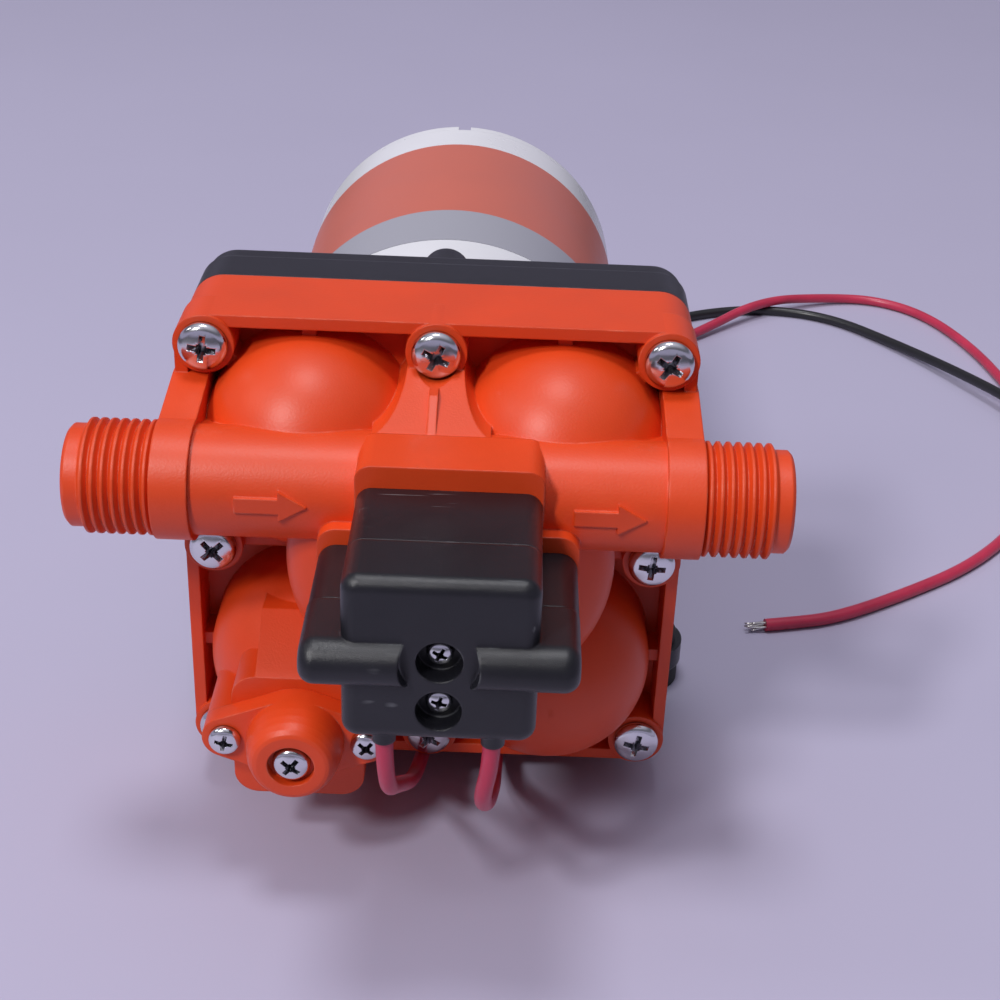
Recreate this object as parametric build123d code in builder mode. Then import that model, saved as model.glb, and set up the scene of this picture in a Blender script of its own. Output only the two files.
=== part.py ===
from build123d import *
from math import cos, pi, radians, sin, sqrt, tan
import os

# Caravan water pump: a diaphragm head with a pressure switch and a bypass valve, driven by a 12 V
# motor. Millimetres. +X points to the outlet, +Y to the rear of the motor and +Z up. The origin is
# on the surface that the feet stand on, in the middle of the four mounting holes.

os.makedirs("parts", exist_ok=True)

# Driving dimensions
axis_height = 56.0
foot_spacing_x = 93.0
foot_spacing_y = 80.0
joint_setback = 64.5
flange_side = 95.0
flange_corner_radius = 6.5
flange_screw_spacing = 84.0
motor_diameter = 78.0
motor_length = 94.0
port_reach = 63.5
thread_diameter = 20.6
thread_pitch = 1.814
lead_diameter = 3.0
overrun = 1.0
seat_gap = 0.3
fit_gap = 0.05
running_gap = 0.04

# Places along the motor axis, from the face where the head meets the housing behind it
joint_y = -joint_setback
head_floor = 10.5
rim_depth = 19.5
boss_depth = 20.2
floor_y = joint_y - head_floor
rim_front_y = joint_y - rim_depth
screw_seat_y = joint_y - boss_depth
diaphragm_housing_depth = 10.0
drive_plate_depth = 4.5
neck_length = 20.0
drive_plate_y = joint_y + diaphragm_housing_depth
neck_y = drive_plate_y + drive_plate_depth
motor_front_y = neck_y + neck_length
motor_rear_y = motor_front_y + motor_length


def facing(y, x=0, z=axis_height):
    """Plane at depth y that faces the front of the pump: its x is +X and its y is up."""
    return Plane(origin=(x, y, z), x_dir=(1, 0, 0), z_dir=(0, -1, 0))


def sideways(x, y=0, z=axis_height):
    """Plane at x that faces +X: its x runs to the rear and its y is up."""
    return Plane(origin=(x, y, z), x_dir=(0, 1, 0), z_dir=(1, 0, 0))


def finish(part, name):
    """Label a finished piece and write it under its own name."""
    part.label = name
    export_step(part, f"parts/{name}.step")


# Screws, all made standing on their seat with the head up
recess_share = 0.62
recess_width_share = 0.22
recess_depth_share = 0.55
head_edge_share = 0.45


def pan_screw(head_radius, head_height, shank_radius, shank_length):
    """A domed screw with a cross recess, its seat at height 0 and its shank below."""
    edge_height = head_height * head_edge_share
    span = 2 * head_radius * recess_share
    with BuildPart() as screw:
        with BuildSketch(Plane.XZ):
            with BuildLine():
                side = Polyline((0, head_height), (0, -shank_length), (shank_radius, -shank_length),
                                (shank_radius, 0), (head_radius, 0), (head_radius, edge_height))
                dome_rise = head_height - edge_height
                crown = (head_radius ** 2 + dome_rise ** 2) / (2 * dome_rise)
                middle_x = head_radius / 2
                middle_z = head_height - crown + sqrt(crown ** 2 - middle_x ** 2)
                ThreePointArc(side @ 1, (middle_x, middle_z), side @ 0)
            make_face()
        revolve(axis=Axis.Z)
        with BuildSketch(Plane.XY.offset(head_height + overrun)):
            Rectangle(span, span * recess_width_share)
            Rectangle(span * recess_width_share, span)
        extrude(amount=-(overrun + head_height * recess_depth_share), mode=Mode.SUBTRACT)
    return screw.part


# Upper housing: the orange head with its domes, flow pipe, ports and pads
rim_wall = 2.3
boss_radius = 5.6
flange_hole_radius = 2.1
head_well_radius = 4.8
dome_radius = 20.0
dome_spacing = 46.5
dome_centre_depth = 18.5
rib_width = 2.6
pipe_radius = 9.9
pipe_setback = 36.0
pipe_rise = 23.0
collar_radius = 10.9
collar_inner_x = 41.3
collar_outer_x = 47.9
web_back_rise = 2.0
gusset_rise = 13.0
saddle_foot_half_width = 10.5
saddle_neck_half_width = 5.2
saddle_rib_width = 1.6
bridge_wall = 2.0
pilot_diameter = 18.4
pilot_length = 2.8
port_bore_radius = 6.5
thread_crest = 0.45
pilot_chamfer = 0.6
barrel_radius = 30.0
barrel_rise = 7.0
barrel_depth = 41.5
barrel_round = 8.0
pad_depth = 48.5
switch_x = 3.85
switch_rise = 14.6
switch_half_width = 15.85
switch_top_rise = 29.4
switch_bottom_rise = -1.1
switch_corner_radius = 2.8
wing_half_width = 22.5
wing_top_rise = 18.0
wing_bottom_rise = 10.4
wing_corner_radius = 3.4
base_screw_spread = 19.0
base_screw_rise = 14.0
switch_screw_radius = 1.3
switch_screw_bite = 8.0
pad_top_margin = 4.1
pad_shoulder_margin = 3.0
pad_side_margin = 0.3
arrow_length = 12.6
arrow_head_length = 5.0
arrow_head_width = 5.8
arrow_shaft_width = 2.9
arrow_raise = 0.45
left_arrow_x = -27.0
right_arrow_x = 31.6
arrow_rise = 23.6

pipe_y = joint_y - pipe_setback
pipe_z = axis_height + pipe_rise
dome_y = joint_y - dome_centre_depth
barrel_y = joint_y - barrel_depth
pad_y = joint_y - pad_depth
switch_z = axis_height + switch_rise
pilot_radius = pilot_diameter / 2
thread_radius = thread_diameter / 2
half_screws = flange_screw_spacing / 2
half_dome = dome_spacing / 2
half_flange = flange_side / 2
screw_grid = [(x, z) for x in (-half_screws, 0, half_screws) for z in (-half_screws, 0, half_screws)
              if x or z]
dome_grid = [(x, z) for x in (-half_dome, half_dome) for z in (-half_dome, half_dome)]

# Bypass valve block, lower left of the head
bypass_x = -23.5
bypass_drop = 25.0
block_half_width = 12.3
block_top_drop = 14.0
block_bottom_drop = 40.3
block_depth = 43.5
block_corner_radius = 4.5
block_slope_run = 12.0
block_slope_rise = 7.5
bypass_screw_spacing = 26.2
bypass_lobe_radius = 4.3
bypass_screw_hole = 1.3
bypass_screw_length = 14.0
bypass_flange = 4.0
poppet_bore_radius = 6.0
poppet_bore_depth = 9.0
poppet_seat_radius = 3.0
bypass_z = axis_height - bypass_drop
block_y = joint_y - block_depth
poppet_seat_y = block_y + poppet_bore_depth
bypass_screw_places = [(-bypass_screw_spacing / 2, 0), (bypass_screw_spacing / 2, 0)]

# Flow spaces inside the head
valve_plate_side = 74.0
valve_plate_corner = 14.0
valve_plate_depth = 8.0
chamber_spacing = 29.0
chamber_radius = 11.5
chamber_depth = 5.0
pocket_radius = 12.0
pocket_spacing = 41.0
pocket_depth = 25.5
channel_radius = 4.5
channel_depth = 15.5
outlet_chamber_radius = 12.0
outlet_chamber_depth = 37.5
riser_x = 5.0
riser_depth = 34.5
pressure_port_radius = 2.0
drain_radius = 1.8
return_hole_radius = 1.2
return_hole_ring = 4.6
seat_hole_depth = 4.5
valve_plate_y = joint_y - valve_plate_depth
pocket_end_y = joint_y - pocket_depth
outlet_end_y = joint_y - outlet_chamber_depth
channel_y = joint_y - channel_depth
riser_y = joint_y - riser_depth
half_pocket = pocket_spacing / 2
half_chamber = chamber_spacing / 2
pocket_grid = [(x, z) for x in (-half_pocket, half_pocket) for z in (-half_pocket, half_pocket)]
chamber_grid = [(x, z) for x in (-half_chamber, half_chamber) for z in (-half_chamber, half_chamber)]


def outline_of_switch(top_margin, shoulder_margin, side_margin):
    """Front outline of the pressure switch: a block crossed by a lower, wider bar."""
    block_height = switch_top_rise + top_margin - switch_bottom_rise
    wing_height = wing_top_rise + shoulder_margin - wing_bottom_rise
    with BuildSketch() as outline:
        with Locations((switch_x, switch_bottom_rise + block_height / 2)):
            RectangleRounded(2 * (switch_half_width + side_margin), block_height, switch_corner_radius)
        with Locations((switch_x, wing_bottom_rise + wing_height / 2)):
            RectangleRounded(2 * (wing_half_width + side_margin), wing_height, wing_corner_radius)
    return outline.sketch


def flow_arrow(x, z):
    """A flat arrow that points to +X, its middle at x and z of the plane it is drawn on."""
    back = -arrow_length / 2
    neck = arrow_length / 2 - arrow_head_length
    with BuildSketch() as arrow:
        with BuildLine():
            Polyline((back, -arrow_shaft_width / 2), (neck, -arrow_shaft_width / 2),
                     (neck, -arrow_head_width / 2), (arrow_length / 2, 0),
                     (neck, arrow_head_width / 2), (neck, arrow_shaft_width / 2),
                     (back, arrow_shaft_width / 2), close=True)
        make_face()
    return Pos(x, z) * arrow.sketch


pad_outline = outline_of_switch(pad_top_margin, pad_shoulder_margin, pad_side_margin)
arrows = [flow_arrow(left_arrow_x, arrow_rise), flow_arrow(right_arrow_x, arrow_rise)]
thread_start_x = collar_outer_x
thread_end_x = port_reach - pilot_length
thread_crests = int((thread_end_x - thread_start_x) / thread_pitch)

# Round barrel behind the switch, cut off level with the middle of the pipe
barrel_z = axis_height + barrel_rise
with BuildPart() as barrel:
    with BuildSketch(sideways(switch_x, floor_y, barrel_z)):
        with BuildLine():
            barrel_length = floor_y - barrel_y
            Polyline((barrel_round - barrel_length, barrel_radius), (0, barrel_radius), (0, 0),
                     (-barrel_length, 0), (-barrel_length, barrel_radius - barrel_round))
            ThreePointArc((barrel_round - barrel_length, barrel_radius),
                          (barrel_round * (1 - cos(radians(45))) - barrel_length,
                           barrel_radius - barrel_round * (1 - sin(radians(45)))),
                          (-barrel_length, barrel_radius - barrel_round))
        make_face()
    revolve(axis=Axis((switch_x, floor_y, barrel_z), (0, 1, 0)))
    split(bisect_by=Plane.XY.offset(pipe_z), keep=Keep.BOTTOM)

# Saddle between the two upper domes, wide at its foot on the pipe and narrow above
saddle_top = half_screws - pipe_rise - boss_radius / 2
saddle_front = rim_front_y - pipe_y
with BuildPart() as saddle:
    with BuildSketch(sideways(-half_dome / 2, pipe_y, pipe_z)):
        with BuildLine():
            Polyline((0, 0), (0, pipe_radius), (saddle_front, saddle_top),
                     (floor_y - pipe_y, saddle_top), (floor_y - pipe_y, 0), close=True)
        make_face()
    extrude(amount=half_dome)
    with BuildSketch(facing(floor_y, 0, pipe_z)):
        with BuildLine():
            Polyline((-saddle_foot_half_width, pipe_radius), (-saddle_foot_half_width, 0),
                     (saddle_foot_half_width, 0), (saddle_foot_half_width, pipe_radius))
            ThreePointArc((saddle_foot_half_width, pipe_radius),
                          ((saddle_foot_half_width + 2 * saddle_neck_half_width) / 3,
                           (2 * pipe_radius + saddle_top) / 3),
                          (saddle_neck_half_width, saddle_top))
            Line((saddle_neck_half_width, saddle_top), (-saddle_neck_half_width, saddle_top))
            ThreePointArc((-saddle_neck_half_width, saddle_top),
                          (-(saddle_foot_half_width + 2 * saddle_neck_half_width) / 3,
                           (2 * pipe_radius + saddle_top) / 3),
                          (-saddle_foot_half_width, pipe_radius))
        make_face()
    extrude(amount=floor_y - pipe_y, mode=Mode.INTERSECT)

with BuildPart() as upper_housing:
    with BuildSketch(facing(joint_y)):
        RectangleRounded(flange_side, flange_side, flange_corner_radius)
    extrude(amount=head_floor)
    with BuildSketch(facing(floor_y)):
        RectangleRounded(flange_side, flange_side, flange_corner_radius)
        inner_side = flange_side - 2 * rim_wall
        RectangleRounded(inner_side, inner_side, flange_corner_radius - rim_wall, mode=Mode.SUBTRACT)
    extrude(amount=floor_y - rim_front_y)
    with BuildSketch(facing(floor_y)):
        with Locations(*screw_grid):
            Circle(boss_radius)
    extrude(amount=floor_y - screw_seat_y)
    # Four domes, each a short drum closed by half a ball
    with BuildSketch(facing(floor_y)):
        with Locations(*dome_grid):
            Circle(dome_radius)
    extrude(amount=floor_y - dome_y)
    for dome_x, dome_z in dome_grid:
        with BuildSketch(sideways(dome_x, dome_y, axis_height + dome_z)):
            with BuildLine():
                CenterArc((0, 0), dome_radius, 90, 90)
                Line((-dome_radius, 0), (0, 0))
                Line((0, 0), (0, dome_radius))
            make_face()
        revolve(axis=Axis((dome_x, dome_y, axis_height + dome_z), (0, 1, 0)))
    # Ribs from the rim to the domes, and across the corners
    with BuildSketch(facing(floor_y)):
        rib_reach = half_flange - rim_wall / 2 - half_dome
        for side in (-1, 1):
            with Locations((-half_dome, side * (half_dome + rib_reach / 2)),
                           (half_dome, side * (half_dome + rib_reach / 2))):
                Rectangle(rib_width, rib_reach)
            with Locations((side * (half_dome + rib_reach / 2), -half_dome)):
                Rectangle(rib_reach, rib_width)
        corner_reach = (half_screws - half_dome) * sqrt(2)
        for side_x in (-1, 1):
            for side_z in (-1, 1):
                middle = (half_screws + half_dome) / 2
                with Locations(Location((side_x * middle, side_z * middle), 45 * side_x * side_z)):
                    Rectangle(corner_reach, rib_width)
        with Locations((half_screws - half_dome / 2, 0), (half_dome / 2 - half_screws, 0)):
            Rectangle(half_dome, rib_width)
    extrude(amount=floor_y - rim_front_y - rim_wall)
    # The pipe that joins the two ports, and the web behind it
    with BuildSketch(sideways(-collar_outer_x, pipe_y, pipe_z)):
        Circle(pipe_radius)
    extrude(amount=2 * collar_outer_x)
    with BuildSketch(sideways(-collar_inner_x, pipe_y, pipe_z)):
        with BuildLine():
            web_back = floor_y - pipe_y
            Polyline((0, 0), (0, pipe_radius), (web_back, web_back_rise), (web_back, 0), close=True)
        make_face()
    extrude(amount=2 * collar_inner_x)
    for side in (-1, 1):
        with BuildSketch(sideways(side * collar_inner_x, pipe_y, pipe_z)):
            Circle(collar_radius)
            with BuildLine():
                gusset_back = floor_y - pipe_y
                Polyline((-collar_radius * sin(radians(30)), collar_radius * cos(radians(30))),
                         (rim_front_y - pipe_y, gusset_rise), (gusset_back, gusset_rise),
                         (gusset_back, -collar_radius), (0, -collar_radius), close=True)
            make_face()
        extrude(amount=side * (collar_outer_x - collar_inner_x))
    # Saddle between the two upper domes, with its middle rib
    add(saddle.part)
    with BuildSketch(sideways(-saddle_rib_width / 2, pipe_y, pipe_z)):
        with BuildLine():
            Polyline((0, 0), (0, pipe_radius), (saddle_front, saddle_top + rim_wall),
                     (floor_y - pipe_y, saddle_top + rim_wall), (floor_y - pipe_y, 0), close=True)
        make_face()
    extrude(amount=saddle_rib_width)
    # Bridges between neighbouring domes, around the channels that join their pockets
    with BuildSketch(facing(floor_y)):
        with Locations((0, half_pocket), (0, -half_pocket), (-half_pocket, 0)):
            Rectangle(2 * (channel_radius + bridge_wall), 2 * (channel_radius + bridge_wall))
    extrude(amount=floor_y - channel_y + channel_radius + bridge_wall)
    add(barrel.part)
    # Pad that the pressure switch is screwed to
    with BuildSketch(facing(pipe_y)):
        add(pad_outline)
    extrude(amount=pipe_y - pad_y)
    # Bypass block with its sloping top
    with BuildSketch(facing(dome_y)):
        with Locations((bypass_x, -(block_top_drop + block_bottom_drop) / 2)):
            RectangleRounded(2 * block_half_width, block_bottom_drop - block_top_drop,
                             block_corner_radius)
    extrude(amount=dome_y - block_y)
    with BuildSketch(sideways(bypass_x - block_half_width + block_corner_radius, block_y,
                              axis_height - block_top_drop)):
        with BuildLine():
            Polyline((0, -block_corner_radius), (0, 0), (block_slope_run, block_slope_rise),
                     (dome_y - block_y, block_slope_rise), (dome_y - block_y, -block_corner_radius),
                     close=True)
        make_face()
    extrude(amount=2 * (block_half_width - block_corner_radius))
    # Bosses of the two screws that hold the bypass cap
    with BuildSketch(facing(floor_y, bypass_x, bypass_z)):
        with Locations(*bypass_screw_places):
            Circle(bypass_lobe_radius)
    extrude(amount=floor_y - block_y)
    # Flow arrows, raised from the front of the pipe
    with BuildSketch(facing(pipe_y)):
        add(arrows)
    extrude(amount=pipe_radius + arrow_raise)
    # Threaded ends: plain pilot, thread ridges and the collar behind them
    for side in (-1, 1):
        with BuildSketch(Plane(origin=(0, pipe_y, pipe_z), x_dir=(side, 0, 0), z_dir=(0, -side, 0))):
            with BuildLine():
                ridge_rise = (thread_pitch - thread_crest) / 2
                ridges = []
                for turn in range(thread_crests):
                    foot = thread_start_x + turn * thread_pitch
                    ridges += [(foot, pilot_radius), (foot + ridge_rise, thread_radius),
                               (foot + ridge_rise + thread_crest, thread_radius)]
                Polyline((thread_start_x, 0), *ridges,
                         (thread_start_x + thread_crests * thread_pitch, pilot_radius),
                         (port_reach - pilot_chamfer, pilot_radius),
                         (port_reach, pilot_radius - pilot_chamfer), (port_reach, 0), close=True)
            make_face()
        revolve(axis=Axis((0, pipe_y, pipe_z), (1, 0, 0)))
    # Seat for the valve plate, and the flow spaces in front of it
    with BuildSketch(facing(joint_y)):
        RectangleRounded(valve_plate_side, valve_plate_side, valve_plate_corner)
    extrude(amount=valve_plate_depth, mode=Mode.SUBTRACT)
    with BuildSketch(facing(valve_plate_y)):
        with Locations(*pocket_grid):
            Circle(pocket_radius)
    extrude(amount=valve_plate_y - pocket_end_y, mode=Mode.SUBTRACT)
    with BuildSketch(facing(valve_plate_y)):
        Circle(outlet_chamber_radius)
    extrude(amount=valve_plate_y - outlet_end_y, mode=Mode.SUBTRACT)
    for rise in (-half_pocket, half_pocket):
        with BuildSketch(sideways(-half_pocket, channel_y, axis_height + rise)):
            Circle(channel_radius)
        extrude(amount=pocket_spacing, mode=Mode.SUBTRACT)
    with BuildSketch(Plane.XY.offset(axis_height - half_pocket)):
        with Locations((-half_pocket, channel_y)):
            Circle(channel_radius)
    extrude(amount=pocket_spacing, mode=Mode.SUBTRACT)
    # Inlet bore with its drop to the upper left pocket, and outlet bore with its riser
    with BuildSketch(sideways(-port_reach - overrun, pipe_y, pipe_z)):
        Circle(port_bore_radius)
    extrude(amount=port_reach + overrun - half_pocket / 2, mode=Mode.SUBTRACT)
    with BuildSketch(facing(pocket_end_y + overrun, -half_pocket, pipe_z)):
        Circle(port_bore_radius - rim_wall / 4)
    extrude(amount=pocket_end_y + overrun - pipe_y, mode=Mode.SUBTRACT)
    with BuildSketch(sideways(riser_x - channel_radius, pipe_y, pipe_z)):
        Circle(port_bore_radius)
    extrude(amount=port_reach + overrun - riser_x + channel_radius, mode=Mode.SUBTRACT)
    with BuildSketch(Plane.XY.offset(axis_height)):
        with Locations((riser_x, riser_y)):
            Circle(channel_radius)
    extrude(amount=pipe_rise, mode=Mode.SUBTRACT)
    with BuildSketch(facing(riser_y, switch_x, switch_z)):
        Circle(pressure_port_radius)
    extrude(amount=riser_y - pad_y + overrun, mode=Mode.SUBTRACT)
    # Bypass bore, its valve seat and the slanting hole from the outlet chamber
    with BuildSketch(facing(poppet_seat_y, bypass_x, bypass_z)):
        Circle(poppet_bore_radius)
    extrude(amount=poppet_bore_depth + overrun, mode=Mode.SUBTRACT)
    with BuildSketch(facing(poppet_seat_y + seat_hole_depth, bypass_x, bypass_z)):
        Circle(poppet_seat_radius)
    extrude(amount=seat_hole_depth + overrun, mode=Mode.SUBTRACT)
    with BuildSketch(facing(pocket_end_y + overrun, bypass_x, bypass_z)):
        with PolarLocations(return_hole_ring, 3, start_angle=135, angular_range=270):
            Circle(return_hole_radius)
    extrude(amount=pocket_end_y + overrun - poppet_seat_y, mode=Mode.SUBTRACT)
    drain_start = Vector(0, outlet_end_y + drain_radius, axis_height)
    drain_end = Vector(bypass_x, poppet_seat_y + seat_hole_depth - drain_radius, bypass_z)
    with BuildSketch(Plane(origin=drain_start, z_dir=drain_end - drain_start)):
        Circle(drain_radius)
    extrude(amount=(drain_end - drain_start).length, mode=Mode.SUBTRACT)
    # Screw holes
    with BuildSketch(facing(joint_y)):
        with Locations(*screw_grid):
            Circle(flange_hole_radius)
    extrude(amount=boss_depth + overrun, mode=Mode.SUBTRACT)
    with BuildSketch(facing(screw_seat_y)):
        with Locations(*screw_grid):
            Circle(head_well_radius)
    extrude(amount=pipe_setback - boss_depth + pipe_radius, mode=Mode.SUBTRACT)
    with BuildSketch(facing(block_y, bypass_x, bypass_z)):
        with Locations(*bypass_screw_places):
            Circle(bypass_screw_hole)
    extrude(amount=bypass_flange - bypass_screw_length, mode=Mode.SUBTRACT)
    with BuildSketch(facing(pad_y, switch_x, axis_height + base_screw_rise)):
        with Locations((-base_screw_spread, 0), (base_screw_spread, 0)):
            Circle(switch_screw_radius)
    extrude(amount=-switch_screw_bite, mode=Mode.SUBTRACT)
finish(upper_housing.part, "upper_housing")

flange_screw_head_radius = 4.55
flange_screw_head_height = 2.6
flange_screw_radius = 1.9
flange_screw_tip = 0.7
flange_screw = pan_screw(flange_screw_head_radius, flange_screw_head_height, flange_screw_radius,
                         neck_y - screw_seat_y - flange_screw_tip)

with BuildPart() as flange_screws:
    with Locations(*[facing(screw_seat_y, x, axis_height + z).location for x, z in screw_grid]):
        add(flange_screw)
finish(flange_screws.part, "flange_screws")

# Valve plate with its seal, four inlet valves and one outlet valve, all of them rubber umbrellas
umbrella_radius = 5.0
umbrella_thickness = 0.8
umbrella_stem_radius = 1.2
umbrella_bulb_radius = 1.8
umbrella_bulb_length = 1.2
umbrella_port_radius = 1.2
umbrella_port_ring = 3.4
inlet_valve_spacing = 34.0
outlet_valve_radius = 11.3
outlet_port_ring = 10.0
outlet_port_radius = 0.9
outlet_port_count = 4
seal_width = 2.2
seal_depth = 1.2
seal_inset = 1.6
inlet_port_count = 6
chamber_wall_y = joint_y - chamber_depth
half_inlet = inlet_valve_spacing / 2
inlet_grid = [(x, z) for x in (-half_inlet, half_inlet) for z in (-half_inlet, half_inlet)]
seal_outer = valve_plate_side - 2 * seal_inset
seal_inner = seal_outer - 2 * seal_width


def seal_ring():
    """Outline of the rounded square seal."""
    with BuildSketch() as ring:
        RectangleRounded(seal_outer, seal_outer, valve_plate_corner - seal_inset)
        RectangleRounded(seal_inner, seal_inner, valve_plate_corner - seal_inset - seal_width,
                         mode=Mode.SUBTRACT)
    return ring.sketch


seal_outline = seal_ring()

with BuildPart() as valve_plate:
    plate_side = valve_plate_side - 2 * fit_gap
    with BuildSketch(facing(joint_y)):
        RectangleRounded(plate_side, plate_side, valve_plate_corner)
    extrude(amount=valve_plate_depth)
    with BuildSketch(facing(joint_y)):
        with Locations(*chamber_grid):
            Circle(chamber_radius)
    extrude(amount=chamber_depth, mode=Mode.SUBTRACT)
    with BuildSketch(facing(valve_plate_y)):
        add(seal_outline)
    extrude(amount=-seal_depth, mode=Mode.SUBTRACT)
    with BuildSketch(facing(valve_plate_y)):
        for x, z in inlet_grid:
            with Locations((x, z)):
                Circle(umbrella_stem_radius)
                with PolarLocations(umbrella_port_ring, inlet_port_count):
                    Circle(umbrella_port_radius)
        with PolarLocations(outlet_port_ring, outlet_port_count, start_angle=180 / outlet_port_count):
            Circle(outlet_port_radius)
    extrude(amount=chamber_depth - valve_plate_depth, mode=Mode.SUBTRACT)
    with BuildSketch(facing(valve_plate_y)):
        Circle(umbrella_stem_radius)
    extrude(amount=-chamber_depth, mode=Mode.SUBTRACT)
finish(valve_plate.part, "valve_plate")

with BuildPart() as valve_plate_seal:
    with BuildSketch(facing(valve_plate_y)):
        add(seal_outline)
    extrude(amount=-seal_depth)
finish(valve_plate_seal.part, "valve_plate_seal")

with BuildPart() as inlet_valves:
    with BuildSketch(facing(chamber_wall_y)):
        with Locations(*inlet_grid):
            Circle(umbrella_radius)
    extrude(amount=-umbrella_thickness)
    with BuildSketch(facing(chamber_wall_y)):
        with Locations(*inlet_grid):
            Circle(umbrella_stem_radius)
    extrude(amount=valve_plate_depth - chamber_depth + umbrella_bulb_length)
    with BuildSketch(facing(valve_plate_y)):
        with Locations(*inlet_grid):
            Circle(umbrella_bulb_radius)
    extrude(amount=umbrella_bulb_length)
finish(inlet_valves.part, "inlet_valves")

with BuildPart() as outlet_valve:
    with BuildSketch(facing(valve_plate_y)):
        Circle(outlet_valve_radius)
    extrude(amount=umbrella_thickness)
    with BuildSketch(facing(valve_plate_y)):
        Circle(umbrella_stem_radius)
    extrude(amount=-chamber_depth)
finish(outlet_valve.part, "outlet_valve")

# Wobble drive: everything that nods is built square to an axis that leans from the motor's axis
wobble_tilt = 4.0
diaphragm_thickness = 2.0
diaphragm_hole_radius = 8.4
diaphragm_disc_radius = 9.4
piston_radius = 7.0
piston_cap_thickness = 1.4
piston_foot_length = 10.6
piston_screw_radius = 1.5
piston_screw_head_radius = 2.6
piston_screw_length = 9.0
wobble_plate_thickness = 4.0
wobble_arm_radius = 8.0
wobble_hub_radius = 19.5
wobble_bore_radius = 13.0
bearing_width = 9.0
bearing_outer_radius = 16.0
bearing_bore_radius = 7.5
bearing_race = 2.6
bearing_ball_radius = 2.2
bearing_ball_count = 9
cage_width = 1.2
cage_depth = 1.8
housing_bore_radius = 10.8
nod_y = joint_y + diaphragm_thickness / 2


def leaning(height):
    """Plane square to the leaning axis, at a height in front of the point that it nods about."""
    lean = Vector(0, -cos(radians(wobble_tilt)), sin(radians(wobble_tilt)))
    return Plane(origin=Vector(0, nod_y, axis_height) + lean * height, x_dir=(1, 0, 0), z_dir=lean)


def race(plane, inner_radius, outer_radius, width, groove_ring, ball_radius):
    """A bearing race that runs back from its plane, with its ball groove cut halfway along."""
    with BuildPart() as ring:
        with BuildSketch():
            Circle(outer_radius)
            Circle(inner_radius, mode=Mode.SUBTRACT)
        extrude(amount=-width)
        with BuildSketch(Plane.XZ):
            with Locations((groove_ring, -width / 2)):
                Circle(ball_radius + running_gap)
        revolve(axis=Axis.Z, mode=Mode.SUBTRACT)
    return plane.location * ring.part


def ball_set(plane, ring_radius, width, ball_radius, count):
    """Balls held by their cage, halfway along a bearing that runs back from its plane."""
    with BuildPart() as balls:
        with BuildSketch(Plane.XY.offset(-(width + cage_depth) / 2)):
            Circle(ring_radius + cage_width / 2)
            Circle(ring_radius - cage_width / 2, mode=Mode.SUBTRACT)
        extrude(amount=cage_depth)
        with Locations(Plane.XY.offset(-width / 2)):
            with PolarLocations(ring_radius, count):
                Sphere(ball_radius)
    return plane.location * balls.part


foot_height = -diaphragm_thickness / 2 - piston_foot_length
hub_height = foot_height - wobble_plate_thickness
bearing_plane = leaning(hub_height)
bearing_ring = (bearing_outer_radius + bearing_bore_radius) / 2

with BuildPart() as diaphragm:
    with BuildSketch(facing(joint_y + diaphragm_thickness)):
        RectangleRounded(plate_side, plate_side, valve_plate_corner)
        with Locations(*chamber_grid):
            Circle(diaphragm_hole_radius, mode=Mode.SUBTRACT)
    extrude(amount=diaphragm_thickness)
    with BuildSketch(leaning(-diaphragm_thickness / 2)):
        with Locations(*chamber_grid):
            Circle(diaphragm_disc_radius)
    extrude(amount=diaphragm_thickness)
    with BuildSketch(leaning(-diaphragm_thickness)):
        with Locations(*chamber_grid):
            Circle(piston_screw_radius)
    extrude(amount=2 * diaphragm_thickness, mode=Mode.SUBTRACT)
finish(diaphragm.part, "diaphragm")

with BuildPart() as piston_caps:
    with BuildSketch(leaning(diaphragm_thickness / 2)):
        with Locations(*chamber_grid):
            Circle(piston_radius)
            Circle(piston_screw_head_radius, mode=Mode.SUBTRACT)
    extrude(amount=piston_cap_thickness)
finish(piston_caps.part, "piston_caps")

with BuildPart() as piston_screws:
    with BuildSketch(leaning(diaphragm_thickness / 2)):
        with Locations(*chamber_grid):
            Circle(piston_screw_head_radius)
    extrude(amount=piston_cap_thickness)
    with BuildSketch(leaning(diaphragm_thickness / 2)):
        with Locations(*chamber_grid):
            Circle(piston_screw_radius)
    extrude(amount=-piston_screw_length)
    with BuildSketch(leaning(diaphragm_thickness / 2 + piston_cap_thickness)):
        with Locations(*chamber_grid):
            Rectangle(piston_screw_head_radius, piston_cap_thickness / 2)
            Rectangle(piston_cap_thickness / 2, piston_screw_head_radius)
    extrude(amount=-piston_cap_thickness / 2, mode=Mode.SUBTRACT)
finish(piston_screws.part, "piston_screws")

with BuildPart() as wobble_plate:
    with BuildSketch(leaning(hub_height)):
        Circle(wobble_hub_radius)
        with Locations(*chamber_grid):
            Circle(wobble_arm_radius)
        arm_length = chamber_spacing * sqrt(2)
        for turn in (45, -45):
            with Locations(Location((0, 0), turn)):
                Rectangle(arm_length, 2 * wobble_arm_radius)
    extrude(amount=wobble_plate_thickness)
    with BuildSketch(leaning(foot_height)):
        with Locations(*chamber_grid):
            Circle(piston_radius)
    extrude(amount=piston_foot_length)
    with BuildSketch(leaning(hub_height - bearing_width)):
        Circle(wobble_hub_radius)
        Circle(bearing_outer_radius, mode=Mode.SUBTRACT)
    extrude(amount=bearing_width)
    with BuildSketch(leaning(hub_height)):
        Circle(wobble_bore_radius)
    extrude(amount=wobble_plate_thickness, mode=Mode.SUBTRACT)
    with BuildSketch(leaning(diaphragm_thickness / 2)):
        with Locations(*chamber_grid):
            Circle(piston_screw_radius)
    extrude(amount=-piston_screw_length, mode=Mode.SUBTRACT)
finish(wobble_plate.part, "wobble_plate")

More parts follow.
